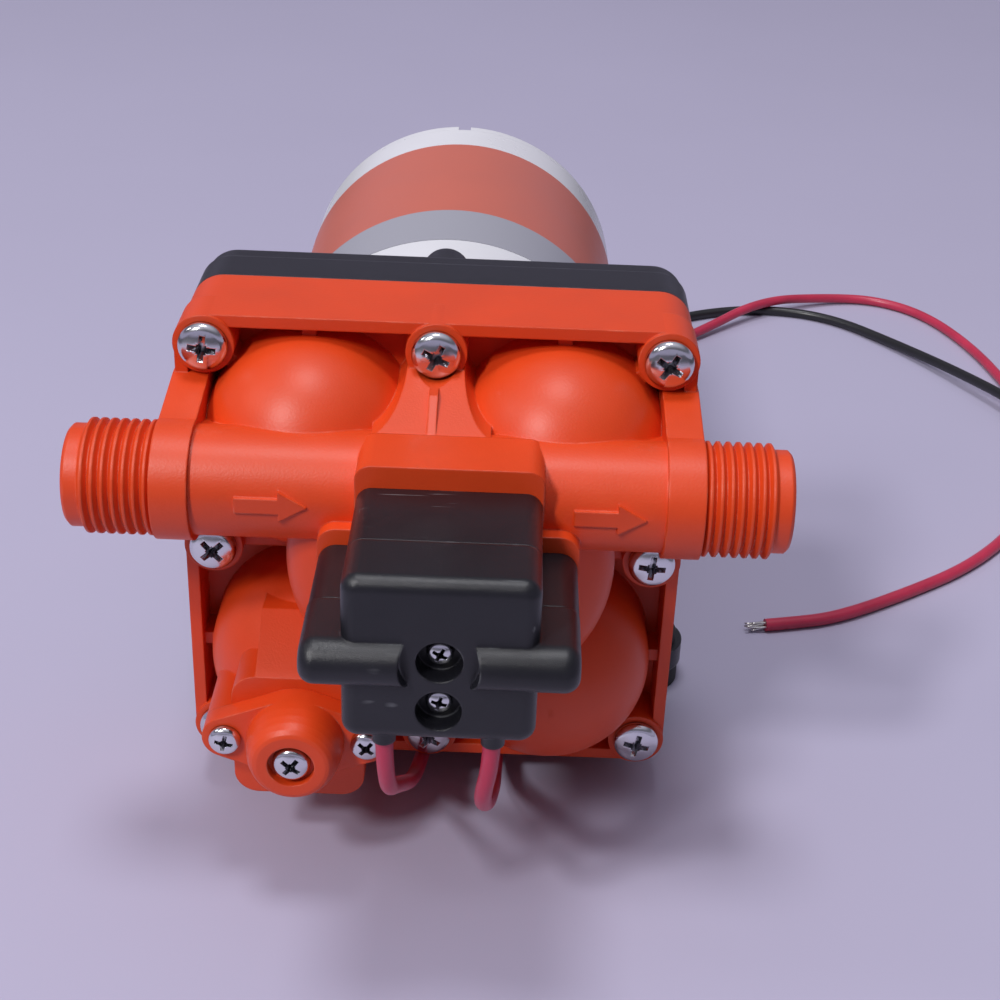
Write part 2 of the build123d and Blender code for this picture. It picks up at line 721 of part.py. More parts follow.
outer_race = race(bearing_plane, bearing_outer_radius - bearing_race, bearing_outer_radius,
                  bearing_width, bearing_ring, bearing_ball_radius)
inner_race = race(bearing_plane, bearing_bore_radius, bearing_bore_radius + bearing_race,
                  bearing_width, bearing_ring, bearing_ball_radius)
wobble_balls = ball_set(bearing_plane, bearing_ring, bearing_width, bearing_ball_radius,
                        bearing_ball_count)

with BuildPart() as wobble_bearing_outer_race:
    add(outer_race)
finish(wobble_bearing_outer_race.part, "wobble_bearing_outer_race")

with BuildPart() as wobble_bearing_inner_race:
    add(inner_race)
finish(wobble_bearing_inner_race.part, "wobble_bearing_inner_race")

with BuildPart() as wobble_bearing_balls:
    add(wobble_balls)
finish(wobble_bearing_balls.part, "wobble_bearing_balls")

# Motor shaft and the leaning hub that it turns
shaft_radius = 4.0
hub_shoulder = 2.0
hub_shoulder_radius = 9.5
hub_collar_length = 4.5
hub_wall_gap = 1.0
hub_race_gap = 0.4
set_screw_radius = 1.5
neck_wall = 4.0
hub_back_y = motor_front_y - neck_wall - hub_wall_gap
hub_screw_y = hub_back_y - hub_collar_length / 2

with BuildPart() as eccentric_hub:
    with BuildSketch(leaning(hub_height - bearing_width)):
        Circle(bearing_bore_radius)
    extrude(amount=bearing_width)
    with BuildSketch(leaning(hub_height - bearing_width - hub_shoulder)):
        Circle(hub_shoulder_radius)
    extrude(amount=hub_shoulder)
    with BuildSketch(facing(hub_back_y)):
        Circle(hub_shoulder_radius)
    extrude(amount=hub_collar_length - hub_wall_gap - hub_race_gap)
    with BuildSketch(facing(hub_back_y + overrun)):
        Circle(shaft_radius)
    extrude(amount=2 * bearing_width + overrun, mode=Mode.SUBTRACT)
    with BuildSketch(sideways(0, hub_screw_y)):
        Circle(set_screw_radius)
    extrude(amount=hub_shoulder_radius + overrun, mode=Mode.SUBTRACT)
finish(eccentric_hub.part, "eccentric_hub")

with BuildPart() as hub_set_screw:
    with BuildSketch(sideways(shaft_radius, hub_screw_y)):
        Circle(set_screw_radius)
    extrude(amount=hub_shoulder_radius - shaft_radius - set_screw_radius / 2)
finish(hub_set_screw.part, "hub_set_screw")

# Housings behind the head: the first carries the diaphragm, the second the motor
drive_plate_inset = 0.5
drive_cavity_radius = 33.0
neck_radius = 39.5
front_boss_radius = 13.0
bolt_rise = 33.5
bolt_radius = 2.0
bolt_boss_radius = 4.5
bolt_boss_length = 6.0
rear_boss_radius = 4.7
rear_boss_length = 6.0
base_screw_radius = 1.9
front_base_screw_x = 12.0
front_base_screw_y = -36.0
base_screw_bite = 5.0
neck_screw_z = axis_height - sqrt(neck_radius ** 2 - front_base_screw_x ** 2)

with BuildPart() as diaphragm_housing:
    with BuildSketch(facing(drive_plate_y)):
        RectangleRounded(flange_side, flange_side, flange_corner_radius)
    extrude(amount=diaphragm_housing_depth)
    with BuildSketch(facing(joint_y)):
        RectangleRounded(valve_plate_side, valve_plate_side, valve_plate_corner)
    extrude(amount=-diaphragm_thickness, mode=Mode.SUBTRACT)
    with BuildSketch(facing(joint_y)):
        with Locations(*chamber_grid):
            Circle(housing_bore_radius)
    extrude(amount=-diaphragm_housing_depth, mode=Mode.SUBTRACT)
    with BuildSketch(facing(joint_y)):
        with Locations(*screw_grid):
            Circle(flange_screw_radius)
    extrude(amount=-diaphragm_housing_depth, mode=Mode.SUBTRACT)
finish(diaphragm_housing.part, "diaphragm_housing")

with BuildPart() as drive_housing:
    drive_side = flange_side - 2 * drive_plate_inset
    with BuildSketch(facing(neck_y)):
        RectangleRounded(drive_side, drive_side, flange_corner_radius)
    extrude(amount=drive_plate_depth)
    with BuildSketch(facing(motor_front_y)):
        Circle(neck_radius)
    extrude(amount=neck_length)
    with BuildSketch(facing(neck_y + rear_boss_length)):
        with Locations((0, half_screws), (0, -half_screws)):
            Circle(rear_boss_radius)
    extrude(amount=rear_boss_length)
    with BuildSketch(facing(drive_plate_y)):
        Circle(drive_cavity_radius)
    extrude(amount=drive_plate_y + neck_wall - motor_front_y, mode=Mode.SUBTRACT)
    with BuildSketch(facing(motor_front_y - neck_wall)):
        with Locations((0, bolt_rise), (0, -bolt_rise)):
            Circle(bolt_boss_radius)
    extrude(amount=bolt_boss_length)
    with BuildSketch(facing(motor_front_y)):
        Circle(front_boss_radius + fit_gap)
    extrude(amount=neck_wall, mode=Mode.SUBTRACT)
    with BuildSketch(facing(motor_front_y)):
        with Locations((0, bolt_rise), (0, -bolt_rise)):
            Circle(bolt_radius)
    extrude(amount=neck_wall + bolt_boss_length, mode=Mode.SUBTRACT)
    with BuildSketch(facing(neck_y + rear_boss_length)):
        with Locations(*screw_grid):
            Circle(flange_screw_radius)
    extrude(amount=rear_boss_length + drive_plate_depth, mode=Mode.SUBTRACT)
    with BuildSketch(Plane.XY):
        with Locations((front_base_screw_x, front_base_screw_y),
                       (-front_base_screw_x, front_base_screw_y)):
            Circle(base_screw_radius)
    extrude(amount=neck_screw_z + base_screw_bite, mode=Mode.SUBTRACT)
finish(drive_housing.part, "drive_housing")

# Motor
can_wall = 2.0
can_front_wall = 2.5
can_back_gap = 2.5
front_boss_length = 4.0
front_bearing_width = 7.0
front_bearing_radius = 11.0
front_bearing_race = 1.8
front_bearing_ball_radius = 1.8
front_bearing_ball_count = 7
front_boss_hole_radius = 6.0
front_boss_lip = 1.0
shaft_front_reach = 19.0
shaft_rear_setback = 3.0
magnet_thickness = 6.0
magnet_angle = 130.0
magnet_front = 10.0
magnet_length = 46.0
core_radius = 30.2
core_front = 12.0
core_length = 42.0
slot_count = 12
slot_ring = 22.0
slot_radius = 4.0
slot_mouth = 2.5
winding_front_length = 7.0
winding_rear_length = 8.0
winding_inner_radius = 12.0
winding_outer_radius = 27.0
commutator_radius = 11.0
commutator_front = 63.0
commutator_length = 14.0
commutator_groove = 0.6
brush_card_setback = 68.0
brush_card_thickness = 2.0
brush_side = 5.0
brush_length = 9.0
brush_wall = 1.4
brush_spring_length = 6.5
brush_spring_radius = 1.6
brush_spring_wire = 0.3
brush_spring_turns = 5
rear_bush_radius = 6.0
rear_bush_length = 5.0
rear_boss_wall = 2.5
spigot_length = 4.5
spigot_wall = 2.0
rear_notch_width = 3.0
rear_notch_depth = 2.0
motor_screw_head_radius = 3.5
motor_screw_head_height = 2.2
label_thickness = 0.2
label_front = 11.5
label_length = 67.0
grommet_x = 6.0
grommet_drop = 27.0
grommet_radius = 3.0
grommet_flange_radius = 4.0
grommet_flange = 1.0
rear_base_screw_x = 8.0
rear_base_screw_setback = 4.75
motor_radius = motor_diameter / 2
can_inner_radius = motor_radius - can_wall
can_rear_y = motor_rear_y - can_back_gap
lead_radius = lead_diameter / 2
bolt_places = [(0, bolt_rise), (0, -bolt_rise)]
grommet_places = [(-grommet_x, -grommet_drop), (grommet_x, -grommet_drop)]
rear_base_screw_y = motor_rear_y - rear_base_screw_setback
can_screw_z = axis_height - sqrt(motor_radius ** 2 - rear_base_screw_x ** 2)
boss_front_y = motor_front_y - front_boss_length
bearing_front_y = boss_front_y + front_boss_lip
commutator_y = motor_front_y + commutator_front
card_y = motor_front_y + brush_card_setback
rear_bush_y = can_rear_y - rear_bush_length - spigot_wall / 4


def rearward(y, x=0, z=axis_height):
    """Plane at depth y that faces the rear: its x is +X and its y is down."""
    return Plane(origin=(x, y, z), x_dir=(1, 0, 0), z_dir=(0, 1, 0))


def coil(plane, mean_radius, wire_radius, length, turns):
    """A compression spring that stands on its plane, its wire laid in pairs of arcs."""
    quarters = 4 * turns
    rise = (length - 2 * wire_radius) / quarters

    def place(step):
        angle = step * pi / 2
        return Vector(mean_radius * cos(angle), mean_radius * sin(angle), wire_radius + rise * step)

    def heading(step):
        angle = step * pi / 2
        return Vector(-mean_radius * sin(angle), mean_radius * cos(angle), rise * 2 / pi).normalized()

    with BuildPart() as spring:
        with BuildLine() as wire:
            for step in range(quarters):
                start, end = place(step), place(step + 1)
                leave, arrive = heading(step), heading(step + 1)
                span, both = end - start, leave + arrive
                bend = 2 * (1 - leave.dot(arrive))
                reach = (sqrt(span.dot(both) ** 2 + bend * span.dot(span)) - span.dot(both)) / bend
                joint = (start + end + (leave - arrive) * reach) / 2
                between = end - arrive * reach - start - leave * reach
                TangentArc(start, joint, tangent=leave)
                TangentArc(joint, end, tangent=between)
        with BuildSketch(Plane(origin=place(0), z_dir=heading(0))):
            Circle(wire_radius)
        sweep(path=wire.wire())
    points = [wire.wire() @ (step / (16 * quarters)) for step in range(16 * quarters + 1)]
    gaps = [(points[low] - points[high]).length - 2 * wire_radius
            for low in range(len(points)) for high in range(low + 32, len(points))]
    print(f"spring of {turns} turns: least gap to itself {min(gaps):.2f} mm")
    return plane.location * spring.part


with BuildPart() as motor_can:
    with BuildSketch(facing(can_rear_y)):
        Circle(motor_radius)
    extrude(amount=can_rear_y - motor_front_y)
    with BuildSketch(facing(motor_front_y)):
        Circle(front_boss_radius)
    extrude(amount=front_boss_length)
    with BuildSketch(facing(can_rear_y)):
        Circle(can_inner_radius)
    extrude(amount=can_rear_y - motor_front_y - can_front_wall, mode=Mode.SUBTRACT)
    with BuildSketch(facing(bearing_front_y + front_bearing_width)):
        Circle(front_boss_radius)
    extrude(amount=bearing_front_y + front_bearing_width - motor_front_y)
    with BuildSketch(facing(bearing_front_y + front_bearing_width)):
        Circle(front_bearing_radius)
    extrude(amount=front_bearing_width, mode=Mode.SUBTRACT)
    with BuildSketch(facing(bearing_front_y)):
        Circle(front_boss_hole_radius)
    extrude(amount=front_boss_lip, mode=Mode.SUBTRACT)
    with BuildSketch(facing(motor_front_y + can_front_wall)):
        with Locations(*bolt_places):
            Circle(bolt_radius)
    extrude(amount=can_front_wall, mode=Mode.SUBTRACT)
    with BuildSketch(Plane.XY):
        with Locations((rear_base_screw_x, rear_base_screw_y), (-rear_base_screw_x, rear_base_screw_y)):
            Circle(base_screw_radius)
    extrude(amount=axis_height, mode=Mode.SUBTRACT)
finish(motor_can.part, "motor_can")

with BuildPart() as motor_label:
    with BuildSketch(facing(motor_front_y + label_front + label_length)):
        Circle(motor_radius + label_thickness)
        Circle(motor_radius, mode=Mode.SUBTRACT)
    extrude(amount=label_length)
finish(motor_label.part, "motor_label")

with BuildPart() as motor_end_cap:
    with BuildSketch(facing(motor_rear_y)):
        Circle(motor_radius)
        with Locations((0, motor_radius)):
            Rectangle(rear_notch_width, 2 * rear_notch_depth, mode=Mode.SUBTRACT)
    extrude(amount=can_back_gap)
    with BuildSketch(facing(can_rear_y)):
        Circle(can_inner_radius - fit_gap)
        Circle(can_inner_radius - spigot_wall, mode=Mode.SUBTRACT)
        Circle(rear_bush_radius + rear_boss_wall)
    extrude(amount=spigot_length)
    with BuildSketch(facing(can_rear_y)):
        Circle(rear_bush_radius + rear_boss_wall)
    extrude(amount=can_rear_y - rear_bush_y)
    with BuildSketch(facing(rear_bush_y + rear_bush_length)):
        Circle(rear_bush_radius)
    extrude(amount=rear_bush_length, mode=Mode.SUBTRACT)
    with BuildSketch(facing(motor_rear_y)):
        with Locations(*bolt_places):
            Circle(bolt_radius)
        with Locations(*grommet_places):
            Circle(grommet_radius)
    extrude(amount=spigot_length + can_back_gap, mode=Mode.SUBTRACT)
    with BuildSketch(Plane.XY):
        with Locations((rear_base_screw_x, rear_base_screw_y), (-rear_base_screw_x, rear_base_screw_y)):
            Circle(base_screw_radius)
    extrude(amount=axis_height - winding_outer_radius, mode=Mode.SUBTRACT)
finish(motor_end_cap.part, "motor_end_cap")

motor_screw = pan_screw(motor_screw_head_radius, motor_screw_head_height, bolt_radius,
                        motor_length + neck_wall + bolt_boss_length - overrun)
with BuildPart() as motor_screws:
    with Locations(*[rearward(motor_rear_y, 0, axis_height + z).location for x, z in bolt_places]):
        add(motor_screw)
finish(motor_screws.part, "motor_screws")

with BuildPart() as motor_magnets:
    with BuildSketch(facing(motor_front_y + magnet_front + magnet_length)):
        Circle(can_inner_radius - fit_gap)
        Circle(can_inner_radius - magnet_thickness, mode=Mode.SUBTRACT)
        opening = 2 * can_inner_radius * sin(radians(90 - magnet_angle / 2))
        Rectangle(opening, 2 * motor_radius, mode=Mode.SUBTRACT)
    extrude(amount=magnet_length)
finish(motor_magnets.part, "motor_magnets")

with BuildPart() as motor_shaft:
    with BuildSketch(facing(motor_rear_y - shaft_rear_setback)):
        Circle(shaft_radius)
    extrude(amount=motor_length - shaft_rear_setback + shaft_front_reach)
finish(motor_shaft.part, "motor_shaft")

core_y = motor_front_y + core_front
with BuildPart() as armature_core:
    with BuildSketch(facing(core_y + core_length)):
        Circle(core_radius)
        Circle(shaft_radius, mode=Mode.SUBTRACT)
        with PolarLocations(slot_ring, slot_count):
            Circle(slot_radius, mode=Mode.SUBTRACT)
        with PolarLocations((slot_ring + core_radius) / 2, slot_count):
            Rectangle(core_radius - slot_ring + overrun, slot_mouth, mode=Mode.SUBTRACT)
    extrude(amount=core_length)
finish(armature_core.part, "armature_core")

with BuildPart() as armature_windings:
    for back_y, depth in ((core_y, winding_front_length),
                          (core_y + core_length + winding_rear_length, winding_rear_length)):
        with BuildSketch(facing(back_y)):
            Circle(winding_outer_radius)
            Circle(winding_inner_radius, mode=Mode.SUBTRACT)
        extrude(amount=depth)
    with BuildSketch(facing(core_y + core_length)):
        with PolarLocations(slot_ring, slot_count):
            Circle(slot_radius - fit_gap)
    extrude(amount=core_length)
finish(armature_windings.part, "armature_windings")

with BuildPart() as commutator:
    with BuildSketch(facing(commutator_y + commutator_length)):
        Circle(commutator_radius)
        Circle(shaft_radius, mode=Mode.SUBTRACT)
        with PolarLocations(commutator_radius, slot_count, start_angle=180 / slot_count):
            Rectangle(2 * commutator_groove, commutator_groove, mode=Mode.SUBTRACT)
    extrude(amount=commutator_length)
finish(commutator.part, "commutator")

bearing_front = facing(bearing_front_y)
front_ring = (front_bearing_radius + shaft_radius) / 2
front_outer_race = race(bearing_front, front_bearing_radius - front_bearing_race, front_bearing_radius,
                        front_bearing_width, front_ring, front_bearing_ball_radius)
front_inner_race = race(bearing_front, shaft_radius, shaft_radius + front_bearing_race,
                        front_bearing_width, front_ring, front_bearing_ball_radius)
front_balls = ball_set(bearing_front, front_ring, front_bearing_width, front_bearing_ball_radius,
                       front_bearing_ball_count)

with BuildPart() as front_bearing_outer_race:
    add(front_outer_race)
finish(front_bearing_outer_race.part, "front_bearing_outer_race")

with BuildPart() as front_bearing_inner_race:
    add(front_inner_race)
finish(front_bearing_inner_race.part, "front_bearing_inner_race")

with BuildPart() as front_bearing_balls:
    add(front_balls)
finish(front_bearing_balls.part, "front_bearing_balls")

with BuildPart() as rear_bush:
    with BuildSketch(facing(rear_bush_y + rear_bush_length)):
        Circle(rear_bush_radius)
        Circle(shaft_radius + running_gap, mode=Mode.SUBTRACT)
    extrude(amount=rear_bush_length)
finish(rear_bush.part, "rear_bush")

# Brushes, each pressed on the commutator by a spring in its holder
holder_channel = brush_side + 2 * fit_gap
holder_back_x = commutator_radius + fit_gap + brush_length + brush_spring_length
holder_front_x = commutator_radius + brush_length / 4
brush_y = card_y + brush_card_thickness + brush_wall / 2 + brush_side / 2

with BuildPart() as brush_card:
    with BuildSketch(facing(card_y + brush_card_thickness)):
        Circle(can_inner_radius - 2 * fit_gap)
        Circle(commutator_radius + brush_card_thickness, mode=Mode.SUBTRACT)
        with Locations(*bolt_places):
            Circle(bolt_radius, mode=Mode.SUBTRACT)
    extrude(amount=brush_card_thickness)
    holder_depth = brush_wall / 2 + holder_channel + brush_wall
    holder_length = holder_back_x + brush_wall - holder_front_x
    for side in (-1, 1):
        with BuildSketch(facing(card_y + brush_card_thickness + holder_depth)):
            with Locations((side * (holder_front_x + holder_length / 2), 0)):
                Rectangle(holder_length, holder_channel + 2 * brush_wall)
        extrude(amount=holder_depth + brush_card_thickness / 2)
        with BuildSketch(sideways(side * holder_back_x, brush_y)):
            Rectangle(holder_channel, holder_channel)
        extrude(amount=-side * holder_back_x, mode=Mode.SUBTRACT)
finish(brush_card.part, "brush_card")

for side, name in ((-1, "brush_left"), (1, "brush_right")):
    with BuildPart() as brush:
        with BuildSketch(sideways(side * (commutator_radius + fit_gap), brush_y)):
            Rectangle(brush_side, brush_side)
        extrude(amount=side * brush_length)
    finish(brush.part, name)

brush_coils = [coil(Plane(origin=(side * holder_back_x, brush_y, axis_height), z_dir=(-side, 0, 0)),
                    brush_spring_radius, brush_spring_wire, brush_spring_length, brush_spring_turns)
               for side in (-1, 1)]
with BuildPart() as brush_springs:
    add(brush_coils)
finish(brush_springs.part, "brush_springs")

with BuildPart() as lead_grommets:
    with BuildSketch(facing(motor_rear_y)):
        with Locations(*grommet_places):
            Circle(grommet_radius)
            Circle(lead_radius, mode=Mode.SUBTRACT)
    extrude(amount=can_back_gap)
    with BuildSketch(facing(motor_rear_y + grommet_flange)):
        with Locations(*grommet_places):
            Circle(grommet_flange_radius)
            Circle(lead_radius, mode=Mode.SUBTRACT)
    extrude(amount=grommet_flange)
finish(lead_grommets.part, "lead_grommets")

# Mounting base on its four rubber feet
base_plate_z = 5.0
base_plate_thickness = 5.0
base_half_width = 30.0
base_front_setback = 6.4
base_rear_setback = 2.0
base_plate_round = 4.0
front_cradle_front = 8.0
front_cradle_length = 22.5
rear_cradle_length = 12.0
cradle_half_width = 22.0
ear_radius = 8.5
foot_radius = 8.0
foot_neck_radius = 5.2
foot_top_radius = 7.0
foot_top_thickness = 3.0
foot_hole_radius = 2.6
foot_round = 1.0
base_screw_head_radius = 3.6
base_screw_head_height = 2.2
base_screw_well = 2.5
clip_length = 5.5
clip_setback = 17.5
clip_width = 5.6
base_front_y = neck_y + base_front_setback
base_rear_y = motor_rear_y - base_rear_setback
base_top_z = base_plate_z + base_plate_thickness
half_foot_x = foot_spacing_x / 2
half_foot_y = foot_spacing_y / 2
foot_places = [(x, y) for x in (-half_foot_x, half_foot_x) for y in (-half_foot_y, half_foot_y)]
front_cradle_y = neck_y + front_cradle_front
rear_cradle_y = base_rear_y - rear_cradle_length
clip_rear_y = motor_rear_y - clip_setback
lead_z = base_plate_z - lead_radius - seat_gap
base_screw_places = [(side * front_base_screw_x, front_base_screw_y) for side in (-1, 1)]
rear_screw_places = [(side * rear_base_screw_x, rear_base_screw_y) for side in (-1, 1)]
base_screw_seat_z = base_plate_z + base_screw_well
supply_x = 14.0
link_x = 0.5

with BuildPart() as mounting_base:
    with BuildSketch(Plane.XY.offset(base_plate_z)):
        with Locations((0, (base_front_y + base_rear_y) / 2)):
            RectangleRounded(2 * base_half_width, base_rear_y - base_front_y, base_plate_round)
        for y in (-half_foot_y, half_foot_y):
            with Locations((0, y)):
                Rectangle(foot_spacing_x, 2 * ear_radius)
        with Locations(*foot_places):
            Circle(ear_radius)
    extrude(amount=base_plate_thickness)
    for front_y, length, round_radius in ((front_cradle_y, motor_front_y - front_cradle_y, neck_radius),
                                          (motor_front_y, front_cradle_length + front_cradle_y
                                           - motor_front_y, motor_radius),
                                          (rear_cradle_y, rear_cradle_length, motor_radius)):
        with BuildSketch(facing(front_y + length)):
            with Locations((0, (base_top_z - axis_height - bolt_rise / 2) / 2)):
                Rectangle(2 * cradle_half_width, axis_height - base_top_z - bolt_rise / 2)
            Circle(round_radius, mode=Mode.SUBTRACT)
        extrude(amount=length)
    with BuildSketch(Plane.XY.offset(base_plate_z)):
        with Locations(*foot_places):
            Circle(foot_neck_radius)
    extrude(amount=base_plate_thickness, mode=Mode.SUBTRACT)
    with BuildSketch(Plane.XY.offset(base_plate_z)):
        with Locations(*base_screw_places, *rear_screw_places):
            Circle(base_screw_head_radius + seat_gap)
    extrude(amount=base_screw_well, mode=Mode.SUBTRACT)
    with BuildSketch(Plane.XY.offset(base_plate_z)):
        with Locations(*base_screw_places, *rear_screw_places):
            Circle(base_screw_radius)
    extrude(amount=axis_height, mode=Mode.SUBTRACT)
    # Relief under the drive housing's lower boss
    with BuildSketch(facing(neck_y + rear_boss_length + fit_gap, 0, axis_height - half_screws)):
        Circle(rear_boss_radius + fit_gap)
    extrude(amount=rear_boss_length + fit_gap, mode=Mode.SUBTRACT)
    # Two moulded clips that hold the leads against the underside
    with BuildSketch(facing(clip_rear_y)):
        with Locations((link_x, lead_z - axis_height), (supply_x, lead_z - axis_height)):
            Rectangle(clip_width, lead_diameter + 2 * seat_gap)
        with Locations((link_x, lead_z - axis_height), (supply_x, lead_z - axis_height)):
            Circle(lead_radius + fit_gap, mode=Mode.SUBTRACT)
    extrude(amount=clip_length)
finish(mounting_base.part, "mounting_base")

with BuildPart() as rubber_feet:
    for z, thickness, radius in ((0, base_plate_z, foot_radius),
                                 (base_plate_z, base_plate_thickness, foot_neck_radius),
                                 (base_top_z, foot_top_thickness, foot_top_radius)):
        with BuildSketch(Plane.XY.offset(z)):
            with Locations(*foot_places):
                Circle(radius)
                Circle(foot_hole_radius, mode=Mode.SUBTRACT)
        extrude(amount=thickness)
    rims = rubber_feet.edges().filter_by(GeomType.CIRCLE).group_by(Axis.Z)[-1].sort_by(SortBy.RADIUS)
    fillet(rims[len(foot_places):], foot_round)
finish(rubber_feet.part, "rubber_feet")

front_base_screw = pan_screw(base_screw_head_radius, base_screw_head_height, base_screw_radius,
                             neck_screw_z + base_screw_bite - base_screw_seat_z)
rear_base_screw = pan_screw(base_screw_head_radius, base_screw_head_height, base_screw_radius,
                            can_screw_z + can_wall + spigot_wall - base_screw_seat_z)
with BuildPart() as base_screws:
    for places, screw in ((base_screw_places, front_base_screw), (rear_screw_places, rear_base_screw)):
        for x, y in places:
            with Locations(Plane(origin=(x, y, base_screw_seat_z), z_dir=(0, 0, -1)).location):
                add(screw)
finish(base_screws.part, "base_screws")

# Pressure switch
switch_base_depth = 17.2
switch_cover_depth = 12.6
switch_bar_rise = 3.0
bar_top_round = 4.4
bar_bottom_round = 2.9
bar_end_round = 2.6
cover_front_round = 2.4
switch_wall = 2.0
switch_base_floor = 3.5
switch_cavity_round = 1.0
screw_recess_radius = 6.5
well_radius = 3.8
well_depth = 3.8
switch_post_radius = 2.2
cover_boss_radius = 5.3
cover_screw_drop = 9.4
cover_screw_radius = 1.2
cover_screw_bite = 10.0
adjusting_screw_radius = 1.5
adjusting_screw_end = 12.5
switch_head_radius = 2.3
switch_head_height = 1.8
base_screw_head_depth = 13.2
base_screw_sink_radius = 3.0
base_screw_pan_radius = 2.6
switch_diaphragm_radius = 10.5
switch_diaphragm_thickness = 1.2
plunger_radius = 6.6
plunger_hole_radius = 7.2
plunger_disc_thickness = 2.4
plunger_arm_thickness = 1.4
plunger_arm_width = 4.0
plunger_arm_top = 10.9
plunger_prong_length = 1.9
plunger_prong_height = 3.0
plunger_stem_radius = 2.0
plunger_stem_length = 5.5
switch_spring_radius = 4.5
switch_spring_wire = 0.45
switch_spring_length = 9.0
switch_spring_turns = 4
nut_side = 11.0
nut_thickness = 3.0
nut_clearance = 0.15
guide_wall = 1.0
micro_length = 19.8
micro_height = 6.4
micro_depth = 10.0
micro_rise = 24.0
micro_overhang = 1.3
button_radius = 1.2
button_length = 1.3
button_gap = 0.3
terminal_spread = 8.95
terminal_width = 3.0
terminal_thickness = 0.8
lead_exit_setback = 2.5
nub_radius = 2.0
nub_length = 1.3
lead_entry = 5.7
crimp_length = 4.5
switch_base_y = pad_y - switch_base_depth
cover_y = switch_base_y - switch_cover_depth
bar_y = cover_y - switch_bar_rise
well_floor_y = cover_y + well_depth
cover_inner_y = cover_y + switch_wall
cover_screw_z = switch_z - cover_screw_drop
diaphragm_front_y = pad_y - switch_diaphragm_thickness
disc_front_y = diaphragm_front_y - plunger_disc_thickness
arm_front_y = disc_front_y - plunger_arm_thickness
nut_y = arm_front_y - switch_spring_length
lead_exit_y = cover_y + lead_exit_setback
lead_exit_z = axis_height + switch_bottom_rise
micro_z = axis_height + micro_rise
micro_front_y = switch_base_y - micro_overhang
micro_rear_y = micro_front_y + micro_depth
terminal_places = [(switch_x - terminal_spread, lead_exit_y), (switch_x + terminal_spread, lead_exit_y)]
switch_outline = outline_of_switch(0, 0, 0)


def block_of_switch(inset, corner):
    """Front outline of the switch's main block, drawn inside it by an inset."""
    height = switch_top_rise - switch_bottom_rise
    with BuildSketch() as block:
        with Locations((switch_x, switch_bottom_rise + height / 2)):
            RectangleRounded(2 * (switch_half_width - inset), height - 2 * inset, corner)
    return block.sketch


cover_outline = block_of_switch(0, switch_corner_radius)
cavity_outline = block_of_switch(switch_wall, switch_cavity_round)
base_screw_spots = [(switch_x - base_screw_spread, base_screw_rise),
                    (switch_x + base_screw_spread, base_screw_rise)]

with BuildPart() as switch_base:
    with BuildSketch(facing(pad_y)):
        add(switch_outline)
    extrude(amount=switch_base_depth)
    with BuildSketch(facing(pad_y - switch_base_floor)):
        add(cavity_outline)
    extrude(amount=switch_base_depth - switch_base_floor, mode=Mode.SUBTRACT)
    with BuildSketch(facing(pad_y - switch_base_floor, switch_x, switch_z)):
        guide_x = nut_side / 2 + nut_clearance + guide_wall / 2
        with Locations((-guide_x, 0), (guide_x, 0)):
            Rectangle(guide_wall, nut_side)
        with Locations((0, -cover_screw_drop)):
            Circle(switch_post_radius)
    extrude(amount=switch_base_depth - switch_base_floor)
    with BuildSketch(facing(pad_y, switch_x, switch_z)):
        Circle(switch_diaphragm_radius)
    extrude(amount=switch_diaphragm_thickness, mode=Mode.SUBTRACT)
    with BuildSketch(facing(diaphragm_front_y, switch_x, switch_z)):
        Circle(plunger_hole_radius)
    extrude(amount=diaphragm_front_y - arm_front_y + button_gap, mode=Mode.SUBTRACT)
    with BuildSketch(facing(switch_base_y, switch_x, cover_screw_z)):
        Circle(cover_screw_radius)
    extrude(amount=-cover_screw_bite, mode=Mode.SUBTRACT)
    with BuildSketch(facing(switch_base_y)):
        with Locations(*base_screw_spots):
            Circle(base_screw_sink_radius)
    extrude(amount=-base_screw_head_depth, mode=Mode.SUBTRACT)
    with BuildSketch(facing(switch_base_y)):
        with Locations(*base_screw_spots):
            Circle(switch_screw_radius)
    extrude(amount=-switch_base_depth, mode=Mode.SUBTRACT)
finish(switch_base.part, "switch_base")

# The bar across the cover, its front rounded more at the top than at the bottom
with BuildPart() as switch_bar:
    bar_top = wing_top_rise
    bar_bottom = wing_bottom_rise
    quarter_share = 1 - cos(radians(45))
    with BuildSketch(sideways(switch_x - wing_half_width, bar_y)):
        with BuildLine():
            bar_depth = switch_base_y - bar_y
            Polyline((bar_top_round, bar_top), (bar_depth, bar_top), (bar_depth, bar_bottom),
                     (bar_bottom_round, bar_bottom))
            ThreePointArc((bar_bottom_round, bar_bottom),
                          (bar_bottom_round * quarter_share, bar_bottom + bar_bottom_round * quarter_share),
                          (0, bar_bottom + bar_bottom_round))
            Line((0, bar_bottom + bar_bottom_round), (0, bar_top - bar_top_round))
            ThreePointArc((0, bar_top - bar_top_round),
                          (bar_top_round * quarter_share, bar_top - bar_top_round * quarter_share),
                          (bar_top_round, bar_top))
        make_face()
    extrude(amount=2 * wing_half_width)
    ends = switch_bar.faces().filter_by(Axis.X)
    fillet(ends.edges().filter_by(lambda edge: edge.center().Y < switch_base_y - overrun / 2), bar_end_round)

